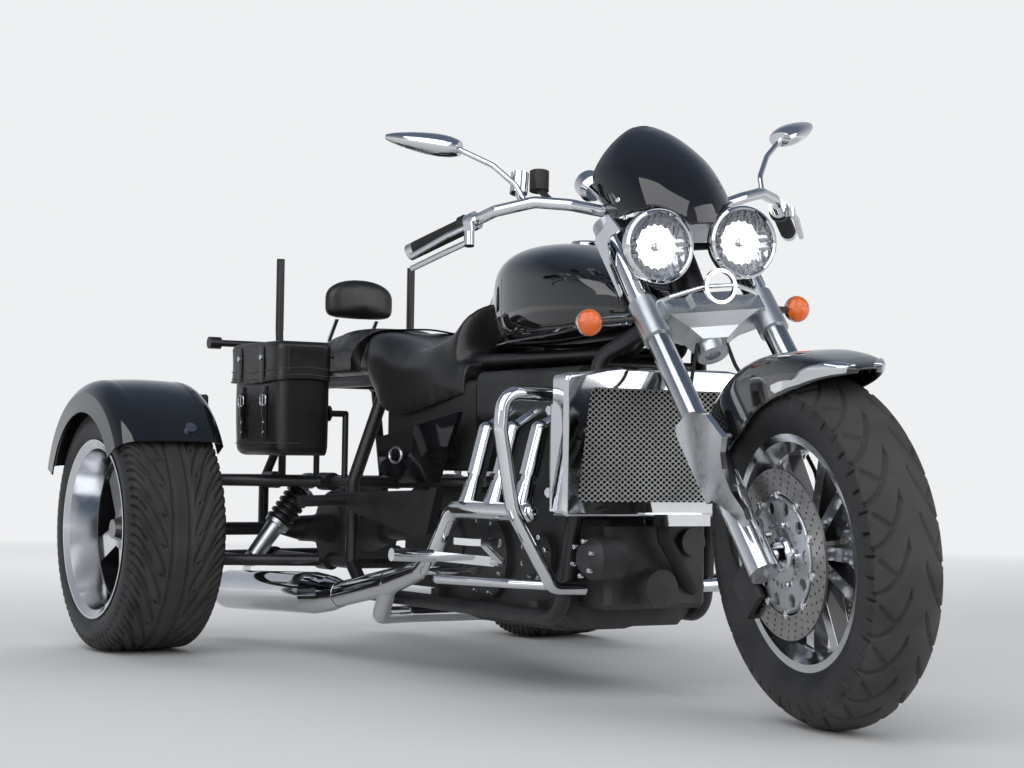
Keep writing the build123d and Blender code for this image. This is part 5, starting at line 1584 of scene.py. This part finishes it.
@dataclass
class Padding:
    """A stuffed leather piece, swollen by a short cloth simulation.

    Attributes:
        name: The piece's name.
        node: The CAD node that it takes the place of.
        voxel: The size of the remeshed faces.
        pressure: How hard it swells.
        cap: How far a point may move.
        fill: How full it is; not used.
        easing: How often its surface is smoothed afterwards.
        tension: How stiff the cloth is.
        moments: How many frames the simulation runs.
    """

    name: str
    node: str
    voxel: float = 0.006
    pressure: float = 4.0
    cap: float = 0.008
    fill: float = 0.7
    easing: int = 10
    tension: float = 12.0
    moments: int = 20

    def form(self) -> Surface:
        """The starting shape, slightly smaller than the finished one."""
        raise NotImplementedError

    def remeshed(self, start: bpy.types.Object) -> bpy.types.Mesh:
        """The starting shape as even faces the size of a voxel."""
        remesh = start.modifiers.new("remesh", "REMESH")
        remesh.mode = "VOXEL"
        remesh.voxel_size = self.voxel
        seen = start.evaluated_get(bpy.context.evaluated_depsgraph_get())
        mesh = bpy.data.meshes.new_from_object(seen)
        start.modifiers.remove(remesh)
        return mesh

    def swell(self, mesh: bpy.types.Mesh) -> None:
        """Runs the cloth simulation and moves the mesh's points to its result, up to the cap.

        Args:
            mesh: The even mesh, which is changed.
        """
        work = linked(self.name + "_work", mesh.copy())
        cloth = work.modifiers.new("cloth", "CLOTH")
        cloth.settings.use_pressure = True
        cloth.settings.uniform_pressure_force = self.pressure
        cloth.settings.effector_weights.gravity = 0.0
        cloth.settings.tension_stiffness = self.tension
        cloth.point_cache.frame_start = 1
        cloth.point_cache.frame_end = self.moments
        for moment in range(1, self.moments + 1):
            bpy.context.scene.frame_set(moment)
        seen = work.evaluated_get(bpy.context.evaluated_depsgraph_get()).data
        after = np.empty(len(mesh.vertices) * 3)
        before = np.empty(len(mesh.vertices) * 3)
        seen.vertices.foreach_get("co", after)
        mesh.vertices.foreach_get("co", before)
        after, before = after.reshape(-1, 3), before.reshape(-1, 3)
        move = np.nan_to_num(after - before)
        far = np.linalg.norm(move, axis=1, keepdims=True)
        move *= np.minimum(1.0, self.cap / np.maximum(far, 1e-9))
        mesh.vertices.foreach_set("co", (before + move).ravel())
        bpy.data.objects.remove(work)
        bpy.context.scene.frame_set(1)

    def build(self) -> bpy.types.Object:
        """Returns:
            The finished piece.
        """
        form = self.form()
        start = bpy.data.meshes.new(self.name)
        rows = [row for face in form.faces for row in face.tolist()]
        start.from_pydata(form.points.tolist(), [], rows)
        piece = linked(self.name, start)
        mesh = self.remeshed(piece)
        self.swell(mesh)
        piece.data = mesh
        mesh.materials.clear()
        mesh.materials.append(LEATHER.build())
        mesh.shade_smooth()
        ease = piece.modifiers.new("ease", "SMOOTH")
        ease.factor = 0.5
        ease.iterations = self.easing
        smooth = piece.modifiers.new("rounds", "SUBSURF")
        smooth.levels = smooth.render_levels = 1
        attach(piece, "chassis")
        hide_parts(self.node)
        log.info("padded %s, %d faces", self.name, len(mesh.polygons))
        return piece


@dataclass
class RiderSeat(Padding):
    """The rider's seat: a saddle over the rails with deep sides and a horn up the tank.

    Attributes:
        stations: Rows of place along, half width, side's lower edge, base, shoulder and top.
        skirt: The sides' thickness.
        arch: The share of a section that runs over the top.
        dish: The shallow valley down the pad's middle, as a depth and a half width.
        pad_end: Where the pad ends and the horn's rounder sections begin.
        dish_end: Where the valley fades out.
    """

    stations: tuple = (
        (-0.670, 0.144, 0.712, 0.719, 0.760, 0.814), (-0.640, 0.151, 0.690, 0.719, 0.765, 0.820),
        (-0.590, 0.154, 0.648, 0.719, 0.758, 0.812), (-0.545, 0.155, 0.615, 0.719, 0.748, 0.801),
        (-0.470, 0.155, 0.598, 0.716, 0.730, 0.783), (-0.380, 0.155, 0.602, 0.702, 0.716, 0.770),
        (-0.320, 0.155, 0.610, 0.696, 0.710, 0.776), (-0.270, 0.154, 0.618, 0.692, 0.706, 0.800),
        (-0.235, 0.152, 0.624, 0.688, 0.702, 0.838), (-0.212, 0.150, 0.630, 0.684, 0.698, 0.866),
        (-0.202, 0.149, 0.632, 0.682, 0.696, 0.866), (-0.190, 0.149, 0.634, 0.680, 0.694, 0.760),
        (-0.145, 0.147, 0.642, 0.676, 0.690, 0.735),
    )
    skirt: float = 0.013
    arch: float = 0.66
    dish: tuple[float, float] = (0.005, 0.06)
    pad_end: tuple[float, float] = (-0.33, -0.23)
    dish_end: tuple[float, float] = (-0.36, -0.3)

    def form(self) -> Surface:
        """Arches over the rails: outside y = w sin^0.85, inside a tunnel.

        From shoulder to top z rises by (1 - |q|^n)^0.62, with n falling from 2.6 over the pad to 1.5 at
        the horn.
        """
        rows = through(self.stations, 96)
        q = np.linspace(-1, 1, 64)[None]
        x, wide, low, base, shoulder, top = (rows[:, k:k + 1] for k in range(6))
        bend = 2.6 - 1.1 * eased(x, *self.pad_end)
        lean = np.clip(np.abs(q) / self.arch, 0, 1)
        down = np.clip((np.abs(q) - self.arch) / (1 - self.arch), 0, 1)
        y = np.sign(q) * wide * np.sin(lean * pi / 2) ** 0.85
        rise = shoulder + (top - shoulder) * np.clip(1 - lean**bend, 0, 1) ** 0.62
        z = np.where(down > 0, shoulder + (low - shoulder) * down, rise)
        deep, half = self.dish
        faded = 1 - eased(x, *self.dish_end)
        z = z - deep * np.exp(-((y / half) ** 2)) * faded * (down <= 0)
        outer = np.stack([x + 0 * q, y, z], -1)
        inset = wide - self.skirt
        t = np.linspace(1, -1, 40)[None]
        tunnel_y = inset * np.clip(t * 1.6, -1, 1)
        tunnel_z = base + (low - base) * np.clip((np.abs(t) - 0.625) / 0.375, 0, 1)
        inner = np.stack([x + 0 * t, tunnel_y, tunnel_z], -1)
        return Surface.grid(np.concatenate([outer, inner], 1), wrap_v=True, ends=True)


@dataclass
class PillionSeat(Padding):
    """The passenger's seat, a crowned pad between the bags.

    Attributes:
        stations: Rows of place along, half width, underside and top.
        belt: The share of a section's height where it is widest.
        across: How square its sides are, above and below the belt.
        upward: How square its top and its bottom are.
    """

    stations: tuple = (
        (-1.042, 0.108, 0.72, 0.785), (-1.022, 0.119, 0.716, 0.806), (-0.98, 0.122, 0.716, 0.817),
        (-0.88, 0.122, 0.716, 0.831), (-0.78, 0.122, 0.716, 0.832), (-0.71, 0.12, 0.716, 0.825),
        (-0.685, 0.112, 0.717, 0.81), (-0.678, 0.1, 0.722, 0.79),
    )
    belt: float = 0.4
    across: tuple[float, float] = (4.5, 4.5)
    upward: tuple[float, float] = (3.6, 9.0)

    def form(self) -> Surface:
        """A row of squared ovals, squarer below."""
        rows = through(self.stations, 60)
        a = around(80)[None]
        x, wide, low, high = (rows[:, k:k + 1] for k in range(4))
        y, z = oval(a, wide, low, high, self.belt, self.across, self.upward)
        return Surface.grid(np.stack([x + 0 * a, y, z], -1), wrap_v=True, ends=True)


@dataclass
class Backrest(Padding):
    """The small backrest pad, straight below and round at its top corners.

    Attributes:
        centre: The pad's middle.
        half: Its half thickness, half width and half height.
    """

    centre: Point = (-0.999, 0.0, 0.932)
    half: Point = (0.026, 0.101, 0.053)

    def form(self) -> Surface:
        """A pillow: x = t (1 - p^5)^0.5 on both faces, p times an outline |cos|^(2/n), |sin|^(2/n)."""
        deep, wide, tall = self.half
        a = around(96)[None]
        p = np.concatenate([np.linspace(0.02, 1, 26), np.linspace(1, 0.02, 26)[1:]])[:, None]
        face = np.concatenate([np.ones(26), -np.ones(25)])[:, None]
        power = np.where(np.sin(a) > 0, 2 / 2.2, 2 / 6.5)
        y = p * wide * powered(np.cos(a), power)
        z = p * tall * powered(np.sin(a), power)
        x = face * deep * np.clip(1 - p**5, 0, 1) ** 0.5
        spots = np.stack([x + 0 * a, y, z], -1) + np.array(self.centre)
        return Surface.grid(spots, wrap_v=True, ends=True)


@dataclass
class Saddlebag:
    """One leather bag and its lid, with straps, buckles, studs and stitches.

    Attributes:
        side: 1 on the left, -1 on the right.
        rear: The bag's rear face.
        front: Its front face.
        inner: Its inner face.
        outer: Its outer face.
        low: Its bottom.
        rim: The lid's seat.
        top: The lid's top.
        skirt: The lid's lower edge.
        over: How far the lid stands out past the bag.
        wall_corner: How sharp the walls' corners are.
        rolled_corner: How sharp the corners are where the leather turns in.
        bottom_roll: The bottom edge's radius.
        top_roll: The lid's edge's radius.
        dip: How far the lid's lower edge dips at its middle.
        strap_gap: How far a strap lies from the bag's end.
        buckle_height: Where the buckles sit.
        hinge: The lid hinge's place across and up, and half its length.
    """

    side: int
    rear: float = -0.9445
    front: float = -0.6555
    inner: float = 0.2375
    outer: float = 0.3915
    low: float = 0.5025
    rim: float = 0.7515
    top: float = 0.788
    skirt: float = 0.688
    over: float = 0.0088
    wall_corner: float = 7.5
    rolled_corner: float = 7.0
    bottom_roll: float = 0.022
    top_roll: float = 0.014
    dip: float = 0.006
    strap_gap: float = 0.075
    buckle_height: float = 0.64
    hinge: Point = (0.2315, 0.752, 0.126)

    def middle(self, height: float, across: float | None = None) -> Array:
        """The bag's middle at a height, or that point at another place across."""
        y = (self.inner + self.outer) / 2 if across is None else across
        return np.array([(self.front + self.rear) / 2, y, height])

    def ring(self, grow: float, corner: float, a: Array, high: object) -> Array:
        """A rounded rectangle round the bag: |x/w|^n + |y/h|^n = 1 with n set by the corner.

        Args:
            grow: How far it stands outside the bag's own outline.
            corner: The corners' sharpness.
            a: Angles round it.
            high: Its height, or one for each point.

        Returns:
            Its points.
        """
        half_x = (self.front - self.rear) / 2 + grow
        half_y = (self.outer - self.inner) / 2 + grow / 2
        c, s = np.cos(a), np.sin(a)
        reach = (np.abs(c) ** corner + np.abs(s) ** corner) ** (-1 / corner)
        centre = self.middle(0.0)
        y = np.minimum(centre[1] + grow / 2 + half_y * reach * s, self.outer + grow)
        return np.c_[centre[0] + half_x * reach * c, y, high + 0 * a]

    @staticmethod
    def drawn_in(row: Array, centre: Array, shares: tuple) -> list[Array]:
        """Copies of a row, each drawn in to a centre until only a share of its size is left."""
        return [centre + (row - centre) * (share, share, 1) for share in shares]

    def shell(self) -> Surface:
        """The bag's walls and bottom: rings that roll in under the walls and close at the middle."""
        a = around(120)
        foot = self.low + self.bottom_roll
        rows = []
        for t in np.linspace(0, 1, 14):
            high = self.rim - 0.001 - (self.rim - foot) * t
            rows.append(self.ring(-0.0035 + 0.003 * sin(pi * t), self.wall_corner, a, high))
        for t in np.linspace(0.12, 1, 9):
            turn_in = self.bottom_roll * (1 - cos(t * pi / 2))
            high = self.low + self.bottom_roll * (1 - sin(t * pi / 2))
            rows.append(self.ring(-0.003 - turn_in, self.rolled_corner, a, high))
        rows += self.drawn_in(rows[-2], self.middle(self.low), (0.6, 0.25, 0.02))
        return Surface.grid(np.stack(rows), wrap_v=True)

    def edge_dip(self, a: Array) -> Array:
        """How far the lid's lower edge lies below its corners."""
        return self.dip * np.cos(2 * (a - pi / 2))

    def lid_shell(self) -> Surface:
        """The lid: a skirt that comes round to the inner side, a rolled edge and a flat top."""
        a = np.linspace(-0.25 * pi, 1.25 * pi, 150)
        base = self.top - self.top_roll
        rows = []
        for t in np.linspace(0, 1, 9):
            high = self.skirt + (base - self.skirt) * t - self.edge_dip(a) * (1 - t)
            rows.append(self.ring(self.over - 0.0015 * sin(pi * t), self.wall_corner, a, high))
        for t in np.linspace(0.15, 1, 8):
            turn_in = self.top_roll * (1 - cos(t * pi / 2))
            high = base + self.top_roll * sin(t * pi / 2)
            rows.append(self.ring(self.over - turn_in, self.rolled_corner, a, high))
        centre = self.middle(self.top, self.inner + 0.002)
        spots = np.stack(rows + self.drawn_in(rows[-1], centre, (0.75, 0.5, 0.25, 0.01)))
        spots[..., 1] = np.maximum(spots[..., 1], self.inner + 0.001)
        return Surface.grid(spots)

    def stitches(self, path: Array, count: int) -> Surface:
        """A row of raised threads along a path, each a tapered bead two thirds of the step long."""
        line, _ = evenly(path, count * 3 + 1)
        taper = np.array([0.0008, 0.0013, 0.0008])
        return Surface.join([Surface.tube(line[3 * i:3 * i + 3], taper, 6) for i in range(count)])

    def straps(self, start: float, end: float, out: float, wide: float = 0.0125) -> list[Surface]:
        """Two flat straps down the outer face with rounded edges, from one height to another."""
        lines = [np.stack([np.full(12, x), np.full(12, out), np.linspace(start, end, 12)], -1)
                 for x in self.strap_places()]
        return [Surface.tube(line, wide, 16, flat=0.16, across=(0.0, 1.0, 0.0)) for line in lines]

    def strap_places(self) -> tuple[float, float]:
        """Both straps' places along."""
        return self.rear + self.strap_gap, self.front - self.strap_gap

    def buckle(self, x: float, out: float) -> Surface:
        """A square wire buckle with its prong."""
        a, high = around(40), self.buckle_height
        reach = (np.abs(np.cos(a)) ** 5 + np.abs(np.sin(a)) ** 5) ** (-1 / 5)
        line = np.stack(
            [x + 0.0165 * reach * np.cos(a), np.full(40, out), high + 0.013 * reach * np.sin(a)], -1)
        prong = np.stack(
            [np.full(5, x), np.full(5, out + 0.001), high + np.linspace(-0.013, 0.013, 5)], -1)
        return Surface.join([Surface.tube(line, 0.0022, 10, closed=True), Surface.tube(prong, 0.0016, 8)])

    def placed(self, pairs: list[tuple[Surface, Finish]]) -> list[tuple[Surface, Finish]]:
        """Surfaces and their finishes, moved to this bag's side of the machine."""
        return [(surface if self.side == 1 else surface.mirrored(), finish) for surface, finish in pairs]

    def build_bag(self, label: str) -> None:
        """Makes the bag with its lower straps, buckles and seam."""
        face = self.outer + 0.0015
        leather = self.straps(self.skirt - 0.012, 0.545, face)
        leather += self.straps(0.66, 0.6, face + 0.0035, 0.0095)
        metal = [self.buckle(x, face + 0.004) for x in self.strap_places()]
        metal += [bolt((x, face + 0.0015, z), (0, 1, 0), 0.004, 0.0018)
                  for x in self.strap_places() for z in (0.56, 0.585)]
        seam = self.ring(-0.0005, 7.2, np.linspace(0.06 * pi, 0.94 * pi, 160), self.low + 0.03)
        parts = [(self.shell(), LEATHER), (Surface.join(leather), LEATHER), (Surface.join(metal), CHROME),
                 (self.stitches(seam, 70), THREAD)]
        Piece("saddlebag_" + label, "chassis", self.placed(parts), ("bag_" + label,), smooth=50).build()

    def build_lid(self, label: str) -> None:
        """Makes the lid with its welt, upper straps, studs, stitches and hinge."""
        a = np.linspace(-0.22 * pi, 1.22 * pi, 200)
        lower = self.skirt + 0.003 - self.edge_dip(a)
        welt = Surface.tube(
            evenly(self.ring(self.over + 0.0006, self.wall_corner, a, lower), 160)[0], 0.0026, 8)
        rows = [self.ring(self.over + 0.0004, self.wall_corner, a, lower + up) for up in (0.008, 0.026)]
        threads = [self.stitches(row, 112) for row in rows]
        end = np.c_[np.full(30, self.front + self.over - 0.0004), np.full(30, 0.365),
                    np.linspace(self.skirt + 0.025, self.top - 0.016, 30)]
        threads.append(self.stitches(end, 16))
        face = self.outer + self.over
        upper = self.straps(self.top - 0.012, self.skirt - 0.004, face + 0.0012)
        studs = [bolt((x, face + 0.003, self.top - 0.04), (0, 1, 0), 0.0075, 0.004)
                 for x in self.strap_places()]
        across, up, half = self.hinge
        pin = Surface.lathe([(0, -half), (0.0049, -half), (0.0049, half), (0, half)], 20)
        pin = pin.moved(shift(*self.middle(up, across)) @ ALONG_X)
        parts = [(self.lid_shell(), LEATHER), (Surface.join([welt] + upper), LEATHER),
                 (Surface.join(threads), THREAD), (Surface.join(studs), CHROME), (pin, SATIN_BLACK)]
        Piece("bag_lid_cover_" + label, "bag_lid_" + label, self.placed(parts), ("bag_lid_" + label,),
              smooth=50).build()

    def build(self) -> None:
        """Makes the bag and its lid."""
        label = "left" if self.side == 1 else "right"
        self.build_bag(label)
        self.build_lid(label)


@dataclass
class Fasteners:
    """The screws on the engine's covers and the pump cover, and the side badges' rims.

    Attributes:
        covers: Rows of a round side cover's place along, height, radius and depth.
        block: The engine block's half width.
        sunk: The share of a cover's depth where its screws sit.
        spread: The share of its radius where they sit.
        pump: The pump cover's middle.
        badge: The badge place's middle on the left side panel.
        badge_size: Its half length and half height.
    """

    covers: tuple = ((0.25, 0.29, 0.052, 0.04), (0.02, 0.28, 0.092, 0.034), (-0.16, 0.29, 0.066, 0.026))
    block: float = 0.16
    sunk: float = 0.68
    spread: float = 0.9
    pump: Point = (0.462, 0.2015, 0.296)
    badge: Point = (-0.398, 0.1925, 0.506)
    badge_size: tuple[float, float] = (0.031, 0.019)

    def ring(self, centre: Point, radius: float, count: int, head: float) -> Surface:
        """Screws evenly round a circle that faces out on the left."""
        return bolt_ring(centre, radius, 20 + 360 * np.arange(count) / count, head, 0.007)

    def build(self) -> None:
        """Makes the screws on both sides, the pump cover's on the right and the badges' rims."""
        screws = [self.ring((x, self.block + self.sunk * depth, z), self.spread * radius, 8, 0.006)
                  for x, z, radius, depth in self.covers]
        screws = [Surface.join(screws).both(), self.ring(self.pump, 0.036, 6, 0.005).mirrored()]
        x, y, z = self.badge
        half_x, half_z = self.badge_size
        a = around(64)
        line = np.stack([x + half_x * np.cos(a), np.full(64, y), z + half_z * np.sin(a)], -1)
        rims = Surface.tube(line, 0.003, 10, closed=True).both()
        Piece("cover_screws", "chassis", [(Surface.join(screws), CHROME)], smooth=40).build()
        Piece("badge_rims", "chassis", [(rims, CHROME)], smooth=60).build()


@dataclass
class SeatStrap:
    """The flat strap over the seats' joint.

    Attributes:
        half: The strap's line from the middle out to its right end.
        wide: Half its width.
    """

    half: tuple = (
        (-0.600, 0.0, 0.829), (-0.612, -0.06, 0.826), (-0.640, -0.115, 0.820),
        (-0.672, -0.146, 0.793), (-0.694, -0.155, 0.755), (-0.706, -0.152, 0.722),
    )
    wide: float = 0.014

    def build(self) -> None:
        """Makes the strap, the same on both sides."""
        half = np.array(self.half)
        line = through(np.vstack([half[:0:-1] * (1, -1, 1), half]), 80)
        strap = Surface.tube(line, self.wide, 16, flat=0.16, across=(0.0, 0.25, 1.0))
        Piece("seat_strap", "chassis", [(strap, LEATHER)], smooth=50).build()


class FrontEnd:
    """The fork, front wheel, lamps and front mudguard."""

    def build(self) -> None:
        """Dresses the solid parts and builds the surfaces over them."""
        FRONT_RIM.dress("front_rim")
        STEEL.dress("front_discs")
        FORK_TUBE.dress("fork_tubes")
        SILVER.dress("yokes")
        CAST_BLACK.dress("front_calipers")
        POLISHED.dress("front_axle", "fork_covers")
        CHROME.dress("headlamp_shells", "ornament", "fork_side_plates")
        SATIN_BLACK.dress("lamp_brackets")
        GRIP.dress("brake_hoses")
        arcs = [((0.336, 0), (0.327, 0.0384), (0.302, 0.069)),
                ((0.302, 0.069), (0.265, 0.075), (0.216, 0.048))]
        FrontTyre("front_tyre_tread", "front_tyre", "front_wheel", FRONT_WHEEL, arcs, tread_edge=0.1,
                  pitches=24, depth=0.0056, steps=(720, 120), finish=FRONT_RUBBER).build()
        Discs().build()
        Lamps().build()
        FrontGuard().build()


class Cockpit:
    """The screen, bars, mirrors and hand controls."""

    def build(self) -> None:
        """Dresses the solid parts and builds the surfaces over them."""
        CHROME.dress("handlebar", "hand_levers", "mirrors")
        GRIP.dress("grips")
        PLASTIC.dress("bar_switchgear")
        Screen().build()


class Middle:
    """The frame, engine, radiator, exhaust, tank and seats."""

    def build(self) -> None:
        """Dresses the solid parts and builds the surfaces over them."""
        SATIN_BLACK.dress("frame_tubes", "passenger_hangers")
        CORE.dress("radiator_core")
        CAST_BLACK.dress("engine_block", "engine_covers")
        PLASTIC.dress("airbox")
        GRIP.dress("coolant_hose")
        CHROME.dress("radiator_shroud", "header_pipes", "silencers", "engine_guards",
                     "foot_controls", "backrest_posts")
        GLOSS_BLACK.dress("side_panels")
        Grille().build()
        Tank().build()
        RiderSeat("rider_saddle", "rider_seat", voxel=0.007).build()
        PillionSeat("pillion_cushion", "passenger_seat", voxel=0.007, easing=24).build()
        Fasteners().build()
        SeatStrap().build()
        Backrest("backrest_cushion", "backrest_pad", voxel=0.004, cap=0.005).build()


class RearEnd:
    """The rear axle, wheels, mudguards, bags and carrier."""

    def build(self) -> None:
        """Dresses the solid parts and builds the surfaces over them."""
        SATIN_BLACK.dress("rear_subframe", "wishbones", "hub_carriers", "shock_springs", "load_carrier",
                          "half_shaft_left", "half_shaft_right")
        CAST_BLACK.dress("final_drive")
        SILVER.dress("dampers")
        GLOSS_BLACK.dress("rear_fenders")
        REAR_LENSES.dress("rear_lamps")
        arcs = [((0.309, 0), (0.30775, 0.0483), (0.304, 0.0965)),
                ((0.304, 0.0965), (0.3, 0.1125), (0.284, 0.1205)),
                ((0.284, 0.1205), (0.252, 0.1265), (0.214, 0.11))]
        right = [replace(finish, name=finish.name + "_right", point=RIGHT_AXLE)
                 for finish in (REAR_RUBBER, REAR_RIM)]
        place = shift(*REAR_AXLE)
        sides = ((1, "left", place, REAR_RUBBER, REAR_RIM), (-1, "right", FLIP @ place, *right))
        for side, label, matrix, rubber, rim in sides:
            RearTyre("rear_tyre_tread_" + label, "rear_tyre_" + label, "rear_wheel_" + label, matrix, arcs,
                     tread_edge=0.14, pitches=26, depth=0.0065, steps=(640, 116), finish=rubber).build()
            rim.dress("rear_rim_" + label)
            Saddlebag(side).build()


def main() -> None:
    """Builds the studio and each sub-assembly in order."""
    StudioCamera().build()
    Studio().build()
    for part in (FrontEnd(), Cockpit(), Middle(), RearEnd()):
        part.build()
        log.info("built %s", type(part).__name__)


if __name__ == "__main__":
    main()
